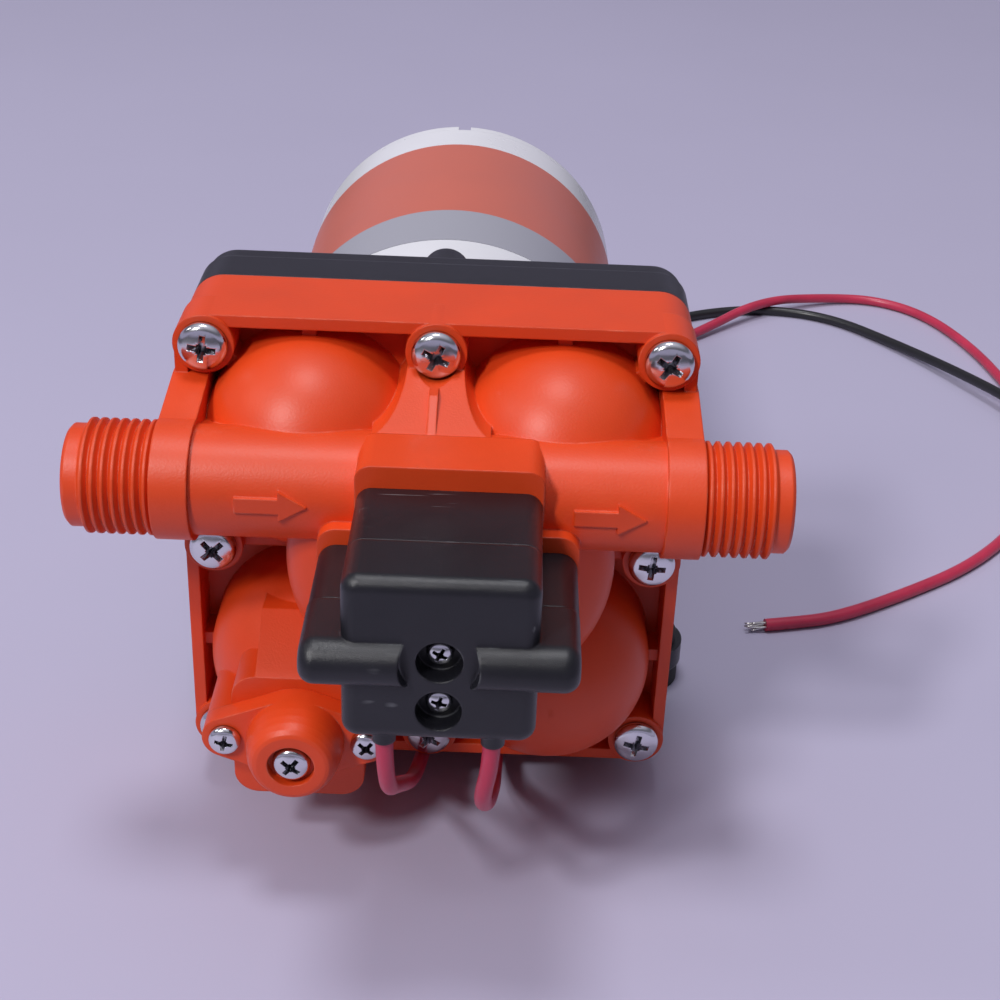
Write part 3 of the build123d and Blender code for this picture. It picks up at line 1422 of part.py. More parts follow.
with BuildPart() as switch_cover:
    with BuildSketch(facing(switch_base_y)):
        add(cover_outline)
    extrude(amount=switch_cover_depth)
    fillet(switch_cover.faces().sort_by(Axis.Y)[0].edges(), cover_front_round)
    add(switch_bar.part)
    with BuildSketch(facing(switch_base_y)):
        add(cavity_outline)
    extrude(amount=switch_cover_depth - switch_wall, mode=Mode.SUBTRACT)
    with BuildSketch(facing(cover_inner_y, switch_x, switch_z)):
        Circle(cover_boss_radius)
        with Locations((0, -cover_screw_drop)):
            Circle(cover_boss_radius - guide_wall)
    extrude(amount=cover_inner_y - well_floor_y - switch_wall)
    with BuildSketch(facing(switch_base_y, switch_x, cover_screw_z)):
        Circle(switch_post_radius)
    extrude(amount=switch_cover_depth - switch_wall)
    with BuildSketch(facing(cover_y, switch_x, switch_z)):
        Circle(screw_recess_radius)
    extrude(amount=switch_bar_rise + overrun, mode=Mode.SUBTRACT)
    with BuildSketch(facing(well_floor_y, switch_x, switch_z)):
        Circle(well_radius)
        with Locations((0, -cover_screw_drop)):
            Circle(well_radius)
    extrude(amount=well_depth + switch_bar_rise + overrun, mode=Mode.SUBTRACT)
    with BuildSketch(facing(switch_base_y, switch_x, switch_z)):
        Circle(adjusting_screw_radius + running_gap)
        with Locations((0, -cover_screw_drop)):
            Circle(cover_screw_radius)
    extrude(amount=switch_cover_depth, mode=Mode.SUBTRACT)
    with BuildSketch(Plane.XY.offset(lead_exit_z - nub_length)):
        with Locations(*terminal_places):
            Circle(nub_radius)
    extrude(amount=nub_length + switch_wall)
    with BuildSketch(Plane.XY.offset(lead_exit_z - nub_length)):
        with Locations(*terminal_places):
            Circle(lead_radius)
    extrude(amount=nub_length + lead_entry + crimp_length, mode=Mode.SUBTRACT)
finish(switch_cover.part, "switch_cover")

with BuildPart() as switch_diaphragm:
    with BuildSketch(facing(pad_y, switch_x, switch_z)):
        Circle(switch_diaphragm_radius)
    extrude(amount=switch_diaphragm_thickness)
finish(switch_diaphragm.part, "switch_diaphragm")

with BuildPart() as switch_plunger:
    with BuildSketch(facing(diaphragm_front_y, switch_x, switch_z)):
        Circle(plunger_radius)
    extrude(amount=plunger_disc_thickness)
    with BuildSketch(facing(disc_front_y, switch_x, switch_z)):
        with Locations((0, plunger_arm_top / 2)):
            Rectangle(plunger_arm_width, plunger_arm_top)
    extrude(amount=plunger_arm_thickness)
    with BuildSketch(facing(arm_front_y, switch_x, switch_z)):
        with Locations((0, plunger_arm_top - plunger_prong_height / 2)):
            Rectangle(plunger_arm_width, plunger_prong_height)
    extrude(amount=plunger_prong_length)
    with BuildSketch(facing(disc_front_y, switch_x, switch_z)):
        Circle(plunger_stem_radius)
    extrude(amount=plunger_arm_thickness + plunger_stem_length)
finish(switch_plunger.part, "switch_plunger")

switch_coil = coil(facing(arm_front_y, switch_x, switch_z), switch_spring_radius, switch_spring_wire,
                   switch_spring_length, switch_spring_turns)
with BuildPart() as switch_spring:
    add(switch_coil)
finish(switch_spring.part, "switch_spring")

with BuildPart() as switch_spring_nut:
    with BuildSketch(facing(nut_y, switch_x, switch_z)):
        Rectangle(nut_side, nut_side)
        Circle(adjusting_screw_radius, mode=Mode.SUBTRACT)
    extrude(amount=nut_thickness)
finish(switch_spring_nut.part, "switch_spring_nut")

adjusting_pan = pan_screw(switch_head_radius, switch_head_height, adjusting_screw_radius,
                          pad_y - adjusting_screw_end - well_floor_y)
with BuildPart() as switch_adjusting_screw:
    with Locations(facing(well_floor_y, switch_x, switch_z).location):
        add(adjusting_pan)
finish(switch_adjusting_screw.part, "switch_adjusting_screw")

cover_pan = pan_screw(switch_head_radius, switch_head_height, cover_screw_radius,
                      switch_base_y + cover_screw_bite - well_floor_y)
with BuildPart() as switch_cover_screw:
    with Locations(facing(well_floor_y, switch_x, cover_screw_z).location):
        add(cover_pan)
finish(switch_cover_screw.part, "switch_cover_screw")

base_pan = pan_screw(base_screw_pan_radius, switch_head_height, switch_screw_radius,
                     switch_base_depth - base_screw_head_depth + switch_screw_bite)
with BuildPart() as switch_base_screws:
    sink_y = switch_base_y + base_screw_head_depth
    with Locations(*[facing(sink_y, x, axis_height + z).location for x, z in base_screw_spots]):
        add(base_pan)
finish(switch_base_screws.part, "switch_base_screws")

with BuildPart() as micro_switch:
    with BuildSketch(facing(micro_rear_y, switch_x, micro_z)):
        Rectangle(micro_length, micro_height)
    extrude(amount=micro_depth)
    with BuildSketch(facing(micro_rear_y, switch_x, micro_z)):
        Circle(button_radius + fit_gap)
    extrude(amount=2 * button_length, mode=Mode.SUBTRACT)
finish(micro_switch.part, "micro_switch")

with BuildPart() as micro_switch_button:
    with BuildSketch(facing(micro_rear_y + button_length - button_gap, switch_x, micro_z)):
        Circle(button_radius)
    extrude(amount=2 * button_length - button_gap)
finish(micro_switch_button.part, "micro_switch_button")

with BuildPart() as switch_terminals:
    crimp_z = lead_exit_z + lead_entry
    with BuildSketch(Plane.XY.offset(crimp_z)):
        with Locations(*terminal_places):
            Circle(lead_radius - fit_gap)
    extrude(amount=crimp_length)
    blade_y = cover_inner_y + seat_gap + terminal_thickness / 2
    with BuildSketch(Plane.XY.offset(crimp_z + crimp_length)):
        for x, y in terminal_places:
            with Locations((x, blade_y)):
                Rectangle(terminal_width, terminal_thickness)
    extrude(amount=micro_z - crimp_z - crimp_length)
    with BuildSketch(facing(micro_front_y, 0, micro_z)):
        for x, y in terminal_places:
            with Locations((x, -terminal_thickness / 2)):
                Rectangle(terminal_width, terminal_thickness)
    extrude(amount=micro_front_y - blade_y + terminal_thickness / 2)
finish(switch_terminals.part, "switch_terminals")

# Bypass valve
cap_cone_length = 8.0
cap_base_radius = 9.0
cap_ring_radius = 6.3
cap_curve_steps = 6
cap_recess_radius = 4.3
cap_recess_depth = 2.0
cap_thread_length = 4.5
cap_cavity_radius = 5.0
cap_screw_head_radius = 3.0
cap_screw_head_height = 2.0
cap_seal_inner = 6.6
cap_seal_outer = 8.2
cap_seal_depth = 1.0
poppet_radius = 4.2
poppet_thickness = 2.0
poppet_stem_radius = 1.6
poppet_stem_length = 3.0
bypass_spring_radius = 3.2
bypass_spring_wire = 0.4
bypass_spring_turns = 5
spring_seat_radius = 4.6
spring_seat_thickness = 1.5
spring_seat_setback = 2.7
bypass_adjuster_radius = 3.0
bypass_adjuster_proud = 0.6
bypass_slot_width = 0.8
bypass_slot_depth = 1.0
cap_front_y = block_y - bypass_flange - cap_cone_length
recess_floor_y = cap_front_y + cap_recess_depth
cavity_end_y = recess_floor_y + cap_thread_length
poppet_front_y = poppet_seat_y - poppet_thickness
spring_seat_y = cavity_end_y + spring_seat_setback
bypass_spring_length = poppet_front_y - spring_seat_y


def profile(y, *points):
    """Closed outline in the plane along the bypass axis, given as depths in front of y and radii."""
    with BuildSketch(sideways(bypass_x, y, bypass_z)) as outline:
        with BuildLine():
            Polyline(*[(-depth, radius) for depth, radius in points], close=True)
        make_face()
    return outline.sketch


bypass_axis = Axis((bypass_x, block_y, bypass_z), (0, 1, 0))
cap_total = bypass_flange + cap_cone_length
cap_turns = [radians(90 * step / cap_curve_steps) for step in range(cap_curve_steps + 1)]
cap_curve = [(bypass_flange + cap_cone_length * sin(turn),
              cap_ring_radius + (cap_base_radius - cap_ring_radius) * cos(turn)) for turn in cap_turns]
cap_profile = profile(block_y, (0, cap_base_radius), *cap_curve, (cap_total, cap_recess_radius),
                      (cap_total - cap_recess_depth, cap_recess_radius),
                      (cap_total - cap_recess_depth, bypass_adjuster_radius),
                      (block_y - cavity_end_y, bypass_adjuster_radius),
                      (block_y - cavity_end_y, cap_cavity_radius), (0, cap_cavity_radius))

with BuildPart() as bypass_cap:
    with BuildSketch(facing(block_y, bypass_x, bypass_z)):
        with BuildLine():
            CenterArc((0, 0), cap_base_radius, 0, 360)
            for x, z in bypass_screw_places:
                CenterArc((x, z), bypass_lobe_radius, 0, 360)
        make_hull()
        Circle(cap_cavity_radius, mode=Mode.SUBTRACT)
    extrude(amount=bypass_flange)
    add(revolve(cap_profile, axis=bypass_axis, mode=Mode.PRIVATE))
    with BuildSketch(facing(block_y, bypass_x, bypass_z)):
        with Locations(*bypass_screw_places):
            Circle(bypass_screw_hole)
    extrude(amount=bypass_flange, mode=Mode.SUBTRACT)
    with BuildSketch(facing(block_y, bypass_x, bypass_z)):
        Circle(cap_seal_outer)
        Circle(cap_seal_inner, mode=Mode.SUBTRACT)
    extrude(amount=cap_seal_depth, mode=Mode.SUBTRACT)
finish(bypass_cap.part, "bypass_cap")

with BuildPart() as bypass_cap_seal:
    with BuildSketch(facing(block_y, bypass_x, bypass_z)):
        Circle(cap_seal_outer)
        Circle(cap_seal_inner, mode=Mode.SUBTRACT)
    extrude(amount=cap_seal_depth)
finish(bypass_cap_seal.part, "bypass_cap_seal")

cap_pan = pan_screw(cap_screw_head_radius, cap_screw_head_height, bypass_screw_hole, bypass_screw_length)
with BuildPart() as bypass_cap_screws:
    with Locations(*[facing(block_y - bypass_flange, bypass_x + x, bypass_z + z).location
                     for x, z in bypass_screw_places]):
        add(cap_pan)
finish(bypass_cap_screws.part, "bypass_cap_screws")

with BuildPart() as bypass_poppet:
    with BuildSketch(facing(poppet_seat_y, bypass_x, bypass_z)):
        Circle(poppet_radius)
    extrude(amount=poppet_thickness)
    with BuildSketch(facing(poppet_front_y, bypass_x, bypass_z)):
        Circle(poppet_stem_radius)
    extrude(amount=poppet_stem_length)
finish(bypass_poppet.part, "bypass_poppet")

bypass_coil = coil(facing(poppet_front_y, bypass_x, bypass_z), bypass_spring_radius,
                   bypass_spring_wire, bypass_spring_length, bypass_spring_turns)
with BuildPart() as bypass_spring:
    add(bypass_coil)
finish(bypass_spring.part, "bypass_spring")

with BuildPart() as bypass_spring_seat:
    with BuildSketch(facing(spring_seat_y, bypass_x, bypass_z)):
        Circle(spring_seat_radius)
    extrude(amount=spring_seat_thickness)
finish(bypass_spring_seat.part, "bypass_spring_seat")

with BuildPart() as bypass_adjusting_screw:
    with BuildSketch(facing(spring_seat_y - spring_seat_thickness, bypass_x, bypass_z)):
        Circle(bypass_adjuster_radius)
    extrude(amount=spring_seat_y - spring_seat_thickness - recess_floor_y + bypass_adjuster_proud)
    with BuildSketch(facing(recess_floor_y - bypass_adjuster_proud, bypass_x, bypass_z)):
        Rectangle(2 * recess_share * bypass_adjuster_radius, bypass_slot_width)
        Rectangle(bypass_slot_width, 2 * recess_share * bypass_adjuster_radius)
    extrude(amount=-bypass_slot_depth, mode=Mode.SUBTRACT)
finish(bypass_adjusting_screw.part, "bypass_adjusting_screw")

# Leads. Each route is a list of places, joined by straight runs and by arcs as large as these allow
bend_share = 0.45
crossing_z = 5.8
floor_z = 1.6


def lead(name, points):
    """A lead of round section along its route."""
    radii = []
    for before, corner, after in zip(points, points[1:], points[2:]):
        back, ahead = Vector(*corner) - Vector(*before), Vector(*after) - Vector(*corner)
        half_turn = radians(back.get_angle(ahead)) / 2
        radii.append(bend_share * min(back.length, ahead.length) / tan(half_turn))
    with BuildPart() as cord:
        with BuildLine() as route:
            FilletPolyline(*points, radius=radii)
        path = route.wire()
        with BuildSketch(Plane(origin=path @ 0, z_dir=path % 0)):
            Circle(lead_radius)
        sweep(path=path)
    share = cord.part.volume / (pi * lead_radius ** 2 * path.length)
    print(f"{name}: {path.length:.0f} mm long, volume share {share:.4f}, "
          f"radii {' '.join(f'{radius:.0f}' for radius in radii)}")
    return cord


left_exit, right_exit = terminal_places
grommet_z = axis_height - grommet_drop
lead_end_y = card_y + brush_card_thickness
link_lead = lead("link_lead", [
    (left_exit[0], left_exit[1], crimp_z), (left_exit[0], left_exit[1], 43), (-3.5, -126, 33),
    (-2.8, -98, 11.5), (-1.6, -84, 6.0), (-0.4, -66, 4.4), (0.2, -48, lead_z), (2.0, -10, lead_z),
    (link_x, 24, lead_z), (link_x, 58, lead_z), (-1.5, 76, 3.4), (-4.5, 88, 12),
    (-grommet_x, 82, grommet_z), (-grommet_x, lead_end_y, grommet_z)])
finish(link_lead.part, "link_lead")

supply_lead_red = lead("supply_lead_red", [
    (right_exit[0], right_exit[1], crimp_z), (right_exit[0], right_exit[1], 50), (11.2, -138.5, 40),
    (12.3, -127, 30), (13.4, -99, 12), (13.6, -86, 6.2), (14.2, -66, 4.4), (14.6, -48, lead_z),
    (15.4, -10, lead_z), (supply_x, 24, lead_z), (supply_x, 58, lead_z), (18.5, 80, 1.7),
    (30, 102, floor_z), (50, 128, floor_z), (76.3, 155, 2.1), (98, 175, crossing_z),
    (122, 189, 2.1), (140, 190, floor_z), (155, 178, floor_z), (165, 152, floor_z),
    (170, 122, floor_z), (171, 90, floor_z), (163, 58, floor_z), (150, 31, floor_z),
    (133, 10.5, floor_z), (113, -4.5, floor_z), (95, -16, floor_z), (83.4, -19.2, floor_z),
    (77.2, -20.5, floor_z)])
finish(supply_lead_red.part, "supply_lead_red")

supply_lead_black = lead("supply_lead_black", [
    (grommet_x, lead_end_y, grommet_z), (grommet_x, 74, grommet_z), (9, 90, 14), (18, 103, 3),
    (38, 133, floor_z), (58, 158, floor_z), (78, 172, floor_z), (100, 178, floor_z),
    (122, 172.5, floor_z), (141, 149.5, 2.1), (155, 126, 4.0), (168, 100, crossing_z),
    (178, 72, 4.0), (184, 40, floor_z), (186, 10, floor_z)])
finish(supply_lead_black.part, "supply_lead_black")
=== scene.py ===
"""Visual model of a caravan water pump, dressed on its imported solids.

Metres, +X to the outlet, +Y to the rear of the motor, +Z up. The origin is on the surface that the
feet stand on, in the middle of the four mounting holes.
"""

import logging
import math
from dataclasses import dataclass, fields
from enum import Enum
from typing import ClassVar, Dict, List, Sequence, Tuple

import bmesh
import bpy
from mathutils import Matrix, Vector


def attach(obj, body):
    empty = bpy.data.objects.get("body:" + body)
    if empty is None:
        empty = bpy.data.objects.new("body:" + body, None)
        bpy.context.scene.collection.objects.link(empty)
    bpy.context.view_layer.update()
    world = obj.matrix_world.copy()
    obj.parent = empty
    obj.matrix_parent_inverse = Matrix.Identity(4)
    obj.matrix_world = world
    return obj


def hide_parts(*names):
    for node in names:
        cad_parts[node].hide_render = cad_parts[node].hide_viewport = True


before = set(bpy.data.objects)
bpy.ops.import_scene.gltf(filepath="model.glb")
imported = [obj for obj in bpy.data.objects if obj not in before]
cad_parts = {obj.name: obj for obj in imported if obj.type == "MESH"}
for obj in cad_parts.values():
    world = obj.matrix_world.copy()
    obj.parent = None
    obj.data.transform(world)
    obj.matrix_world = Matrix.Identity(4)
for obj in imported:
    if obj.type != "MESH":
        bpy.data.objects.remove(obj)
LOG = logging.getLogger("water_pump")
Point = Tuple[float, float, float]
Colour = Tuple[float, float, float]
Socket = bpy.types.NodeSocket
MM = 0.001
BLACK: Colour = (0.0, 0.0, 0.0)
BACKDROP_COLOUR: Colour = (0.355, 0.335, 0.465)


class Carrier(Enum):
    """The bodies that the drawn pieces ride on."""

    PUMP = "pump"
    PRESSURE_SCREW = "pressure_screw"
    BYPASS_SCREW = "bypass_screw"


class NodeSheet:
    """Adds nodes to one node tree and links them."""

    def __init__(self, tree: bpy.types.NodeTree) -> None:
        """Starts from an empty tree.

        Args:
            tree: the node tree to fill.
        """
        self.tree = tree
        tree.nodes.clear()

    def add(self, kind: str, inputs: Dict[object, object] | None = None,
            **settings: object) -> bpy.types.Node:
        """Adds one node.

        Args:
            kind: the node's type name.
            inputs: values or sockets for its inputs, by name or number.
            settings: the node's own properties.

        Returns:
            The new node.
        """
        node = self.tree.nodes.new(kind)
        for name, value in settings.items():
            setattr(node, name, value)
        for key, value in (inputs or {}).items():
            if isinstance(value, Socket):
                self.tree.links.new(value, node.inputs[key])
            else:
                node.inputs[key].default_value = value
        return node

    def math(self, operation: str, first: object, second: object, clamp: bool = False) -> Socket:
        """Adds a math node.

        Args:
            operation: the node's operation.
            first: a value or socket.
            second: a value or socket.
            clamp: keeps the result from 0 to 1.

        Returns:
            The result socket.
        """
        node = self.add("ShaderNodeMath", {0: first, 1: second}, operation=operation, use_clamp=clamp)
        return node.outputs[0]

    def above(self, value: Socket, floor: float, gain: float) -> Socket:
        """How far a value stands above a floor, times a gain and kept from 0 to 1.

        Args:
            value: what is measured.
            floor: where the result leaves 0.
            gain: how fast it rises.

        Returns:
            The result socket.
        """
        return self.math("MULTIPLY", self.math("SUBTRACT", value, floor), gain, True)

    def below(self, value: Socket, ceiling: float, gain: float) -> Socket:
        """How far a value stays below a ceiling, times a gain and kept from 0 to 1.

        Args:
            value: what is measured.
            ceiling: where the result reaches 0.
            gain: how fast it falls.

        Returns:
            The result socket.
        """
        return self.math("MULTIPLY", self.math("SUBTRACT", ceiling, value), gain, True)

    def length(self, vector: Socket) -> Socket:
        """The length of a vector.

        Args:
            vector: the vector's socket.

        Returns:
            The length's socket.
        """
        return self.add("ShaderNodeVectorMath", {0: vector}, operation="LENGTH").outputs["Value"]

    def noise(self, place: Socket, scale: float, detail: float, roughness: float = 0.5) -> Socket:
        """Adds a noise texture.

        Args:
            place: its coordinates.
            scale: its scale, per metre.
            detail: how many finer layers it has.
            roughness: how strong these are.

        Returns:
            The noise from 0 to 1.
        """
        return self.add("ShaderNodeTexNoise", {"Vector": place, "Scale": scale, "Detail": detail,
                                               "Roughness": roughness}).outputs[0]

    def ramp(self, factor: Socket, stops: Sequence[Tuple[float, Sequence[float]]]) -> Socket:
        """Adds a colour ramp.

        Args:
            factor: what drives the ramp.
            stops: positions and colours, in order.

        Returns:
            The colour socket.
        """
        node = self.add("ShaderNodeValToRGB", {0: factor})
        elements = node.color_ramp.elements
        while len(elements) < len(stops):
            elements.new(0.5)
        for element, (position, colour) in zip(elements, stops):
            element.position = position
            element.color = (*colour, 1.0)
        return node.outputs[0]

    def mix(self, factor: Socket, first: object, second: object) -> Socket:
        """Mixes two colours.

        Args:
            factor: the second colour's share.
            first: a colour or socket.
            second: a colour or socket.

        Returns:
            The colour socket.
        """
        factor_input, first_input, second_input, colour_output = 0, 6, 7, 2
        node = self.add("ShaderNodeMix", {factor_input: factor}, data_type="RGBA")
        for key, value in ((first_input, first), (second_input, second)):
            if isinstance(value, Socket):
                self.tree.links.new(value, node.inputs[key])
            else:
                node.inputs[key].default_value = (*value, 1.0)
        return node.outputs[colour_output]


@dataclass(frozen=True)
class WearAndSheen:
    """How worn edges with a painted highlight, and fine scratches, are spread over a moulding."""

    bend_gain: float = 3.0
    patch_scale: float = 240.0
    patch_detail: float = 5.0
    patch_floor: float = 0.52
    patch_gain: float = 6.0
    scratch_turn: Point = (0.3, 0.2, 0.9)
    scratch_scale: Point = (90.0, 1500.0, 300.0)
    scratch_detail: float = 2.0
    scratch_floor: float = 0.68
    scratch_gain: float = 14.0
    spot_scale: float = 55.0
    spot_detail: float = 1.0
    spot_floor: float = 0.55
    spot_gain: float = 9.0

    def edges(self, sheet: NodeSheet, place: Socket, soft: Socket) -> Socket:
        """Where edges are pale, partly from wear and partly as a painted highlight: in patches, where the
        rounded normal leaves the true one.

        Args:
            sheet: where nodes are added.
            place: Object coordinates.
            soft: the rounded normal.

        Returns:
            The share from 0 to 1.
        """
        true = sheet.add("ShaderNodeNewGeometry").outputs["True Normal"]
        bend = sheet.add("ShaderNodeVectorMath", {0: soft, 1: true}, operation="DOT_PRODUCT").outputs["Value"]
        patches = sheet.noise(place, self.patch_scale, self.patch_detail)
        return sheet.math("MULTIPLY", sheet.below(bend, 1.0, self.bend_gain),
                          sheet.above(patches, self.patch_floor, self.patch_gain))

    def scratches(self, sheet: NodeSheet, place: Socket) -> Socket:
        """Where fine scratches run: thin lines, in a few spots.

        Args:
            sheet: where nodes are added.
            place: Object coordinates.

        Returns:
            The share from 0 to 1.
        """
        stretched = sheet.add("ShaderNodeMapping", {"Vector": place, "Rotation": self.scratch_turn,
                                                    "Scale": self.scratch_scale}).outputs[0]
        lines = sheet.noise(stretched, 1.0, self.scratch_detail)
        spots = sheet.noise(place, self.spot_scale, self.spot_detail)
        return sheet.math("MULTIPLY", sheet.above(lines, self.scratch_floor, self.scratch_gain),
                          sheet.above(spots, self.spot_floor, self.spot_gain))


@dataclass(frozen=True)
class Finish:
    """A surface with mottled colour, fine grain and softly rounded edges."""

    name: str
    colour: Colour
    roughness: float = 0.45
    metallic: float = 0.0
    mottle: float = 0.06
    mottle_scale: float = 60.0
    grain_scale: float = 1600.0
    grain_strength: float = 0.08
    edge_radius: float = 0.0004
    # Pale edges: partly wear, partly a painted highlight along rounded edges; fine scratches share their
    # colour.
    edge_colour: Colour = (0.9, 0.9, 0.9)
    edge_wear_and_sheen: float = 0.0
    coat: float = 0.0
    subsurface: float = 0.0
    # Painted shade: ambient occlusion darkens the colour in narrow places, within this reach, towards this
    # colour.
    painted_shade_reach: float = 0.0
    painted_shade_colour: Colour = (0.02, 0.02, 0.024)
    scratches: float = 0.0
    wear_and_sheen: WearAndSheen = WearAndSheen()

    MOTTLE_DETAIL: ClassVar[float] = 4.0
    MOTTLE_ROUGHNESS: ClassVar[float] = 0.6
    MOTTLE_SPAN: ClassVar[Tuple[float, float]] = (0.3, 0.7)
    GRAIN_DETAIL: ClassVar[float] = 2.0
    GRAIN_DEPTH: ClassVar[float] = 0.0002
    EDGE_SAMPLES: ClassVar[int] = 6
    # Samples and power of the painted shade in narrow places.
    PAINTED_SHADE_SAMPLES: ClassVar[int] = 8
    PAINTED_SHADE_POWER: ClassVar[float] = 1.6
    ROUGHNESS_SPREAD: ClassVar[float] = 0.15
    COAT_ROUGHNESS: ClassVar[float] = 0.25
    SUBSURFACE_REACH: ClassVar[float] = 0.003

    def colour_socket(self, sheet: NodeSheet, place: Socket, mottling: Socket) -> Socket:
        """The base colour.

        Args:
            sheet: where nodes are added.
            place: Object coordinates.
            mottling: a noise from 0 to 1.

        Returns:
            The colour socket.
        """
        low = tuple(c * (1 - self.mottle) for c in self.colour)
        high = tuple(min(1.0, c * (1 + self.mottle)) for c in self.colour)
        return sheet.ramp(mottling, list(zip(self.MOTTLE_SPAN, (low, high))))

    def glow(self, sheet: NodeSheet, place: Socket) -> Dict[object, object]:
        """The shader inputs of the surface's own glow: none."""
        return {}

    def used_colour(self, sheet: NodeSheet, place: Socket, colour: Socket) -> Socket:
        """Adds scratches, and painted shade in narrow places, to a colour.

        Args:
            sheet: where nodes are added.
            place: Object coordinates.
            colour: the colour before use.

        Returns:
            The colour socket.
        """
        if self.scratches:
            marked = sheet.math("MULTIPLY", self.wear_and_sheen.scratches(sheet, place), self.scratches)
            colour = sheet.mix(marked, colour, self.edge_colour)
        # Painted shade: the colour darkens where ambient occlusion finds the surface hemmed in.
        if self.painted_shade_reach:
            openness = sheet.add("ShaderNodeAmbientOcclusion", {"Distance": self.painted_shade_reach},
                                 samples=self.PAINTED_SHADE_SAMPLES).outputs["AO"]
            colour = sheet.mix(sheet.math("POWER", openness, self.PAINTED_SHADE_POWER), self.painted_shade_colour, colour)
        return colour

    def build(self) -> bpy.types.Material:
        """Builds the material.

        Returns:
            The new material.
        """
        material = bpy.data.materials.new(self.name)
        material.use_nodes = True
        sheet = NodeSheet(material.node_tree)
        place = sheet.add("ShaderNodeTexCoord").outputs["Object"]
        mottling = sheet.noise(place, self.mottle_scale, self.MOTTLE_DETAIL, self.MOTTLE_ROUGHNESS)
        grain = sheet.noise(place, self.grain_scale, self.GRAIN_DETAIL)
        colour = self.colour_socket(sheet, place, mottling)
        bump = sheet.add("ShaderNodeBump", {"Height": grain, "Strength": self.grain_strength,
                                            "Distance": self.GRAIN_DEPTH})
        if self.edge_radius:
            soft = sheet.add("ShaderNodeBevel", {"Radius": self.edge_radius},
                             samples=self.EDGE_SAMPLES).outputs[0]
            sheet.tree.links.new(soft, bump.inputs["Normal"])
            # Pale edges, partly wear and partly a painted highlight.
            if self.edge_wear_and_sheen:
                wear_and_sheen_share = sheet.math("MULTIPLY", self.wear_and_sheen.edges(sheet, place, soft), self.edge_wear_and_sheen)
                colour = sheet.mix(wear_and_sheen_share, colour, self.edge_colour)
        spread = self.ROUGHNESS_SPREAD
        rough = sheet.add("ShaderNodeMapRange", {
            "Value": mottling, "To Min": self.roughness * (1 - spread),
            "To Max": min(1.0, self.roughness * (1 + spread))}).outputs[0]
        shader = sheet.add("ShaderNodeBsdfPrincipled", {
            "Base Color": self.used_colour(sheet, place, colour), "Roughness": rough,
            "Metallic": self.metallic, "Normal": bump.outputs[0], "Coat Weight": self.coat,
            "Coat Roughness": self.COAT_ROUGHNESS, "Subsurface Weight": self.subsurface,
            "Subsurface Scale": self.SUBSURFACE_REACH, **self.glow(sheet, place)})
        output = sheet.add("ShaderNodeOutputMaterial")
        sheet.tree.links.new(shader.outputs[0], output.inputs[0])
        return material


@dataclass(frozen=True)
class LabelFoil(Finish):
    """Plain foil round the motor: a pale strip at its front edge and one flat band behind it."""

    strip: Colour = (0.36, 0.36, 0.41)
    band_start: float = 0.0
    band_edge_gain: float = 9000.0
    shade_share: float = 0.95

    def colour_socket(self, sheet: NodeSheet, place: Socket, mottling: Socket) -> Socket:
        """The band's colour behind its front edge, and the strip's before it.

        Args:
            sheet: where nodes are added.
            place: Object coordinates.
            mottling: a noise from 0 to 1.

        Returns:
            The colour socket.
        """
        along = sheet.add("ShaderNodeSeparateXYZ", {0: place}).outputs["Y"]
        behind = sheet.above(along, self.band_start, self.band_edge_gain)
        shade = tuple(c * self.shade_share for c in self.colour)
        band = sheet.ramp(mottling, list(zip(self.MOTTLE_SPAN, (shade, self.colour))))
        return sheet.mix(behind, self.strip, band)


@dataclass(frozen=True)
class SweepPaper(Finish):
    """The floor's paper, with painted shade far from the object where the lamps would not reach, and which
    runs into a backdrop.
    """

    # Painted shade: the paper's colour far out, beyond the lamps' reach, for every ray but the camera's.
    far_painted_shade: Colour = (0.05, 0.05, 0.06)
    lit_reach: float = 0.34
    lit_gain: float = 5.0
    sweep_start: float = 0.75
    sweep_gain: float = 0.8

    def colour_socket(self, sheet: NodeSheet, place: Socket, mottling: Socket) -> Socket:
        """The paper's colour, darkened far out as painted shade for every ray but the camera's.

        Args:
            sheet: where nodes are added.
            place: Object coordinates.
            mottling: a noise from 0 to 1.

        Returns:
            The colour socket.
        """
        # Painted shade far out, for every ray but the camera's.
        far = sheet.above(sheet.length(place), self.lit_reach, self.lit_gain)
        seen = sheet.add("ShaderNodeLightPath").outputs["Is Camera Ray"]
        unseen_far_shade = sheet.math("MULTIPLY", far, sheet.math("SUBTRACT", 1.0, seen))
        paper = sheet.mix(unseen_far_shade, super().colour_socket(sheet, place, mottling), self.far_painted_shade)
        return sheet.mix(self.sweep_share(sheet, place), paper, BLACK)

    def sweep_share(self, sheet: NodeSheet, place: Socket) -> Socket:
        """How far the paper has passed into the backdrop, for the camera alone.

        Args:
            sheet: where nodes are added.
            place: Object coordinates.

        Returns:
            The share from 0 to 1.
        """
        beyond = sheet.above(sheet.length(place), self.sweep_start, self.sweep_gain)
        return sheet.math("MULTIPLY", beyond, sheet.add("ShaderNodeLightPath").outputs["Is Camera Ray"])

    def glow(self, sheet: NodeSheet, place: Socket) -> Dict[object, object]:
        """The paper shows the backdrop's colour where it has passed into it."""
        return {"Emission Color": (*BACKDROP_COLOUR, 1.0),
                "Emission Strength": self.sweep_share(sheet, place)}


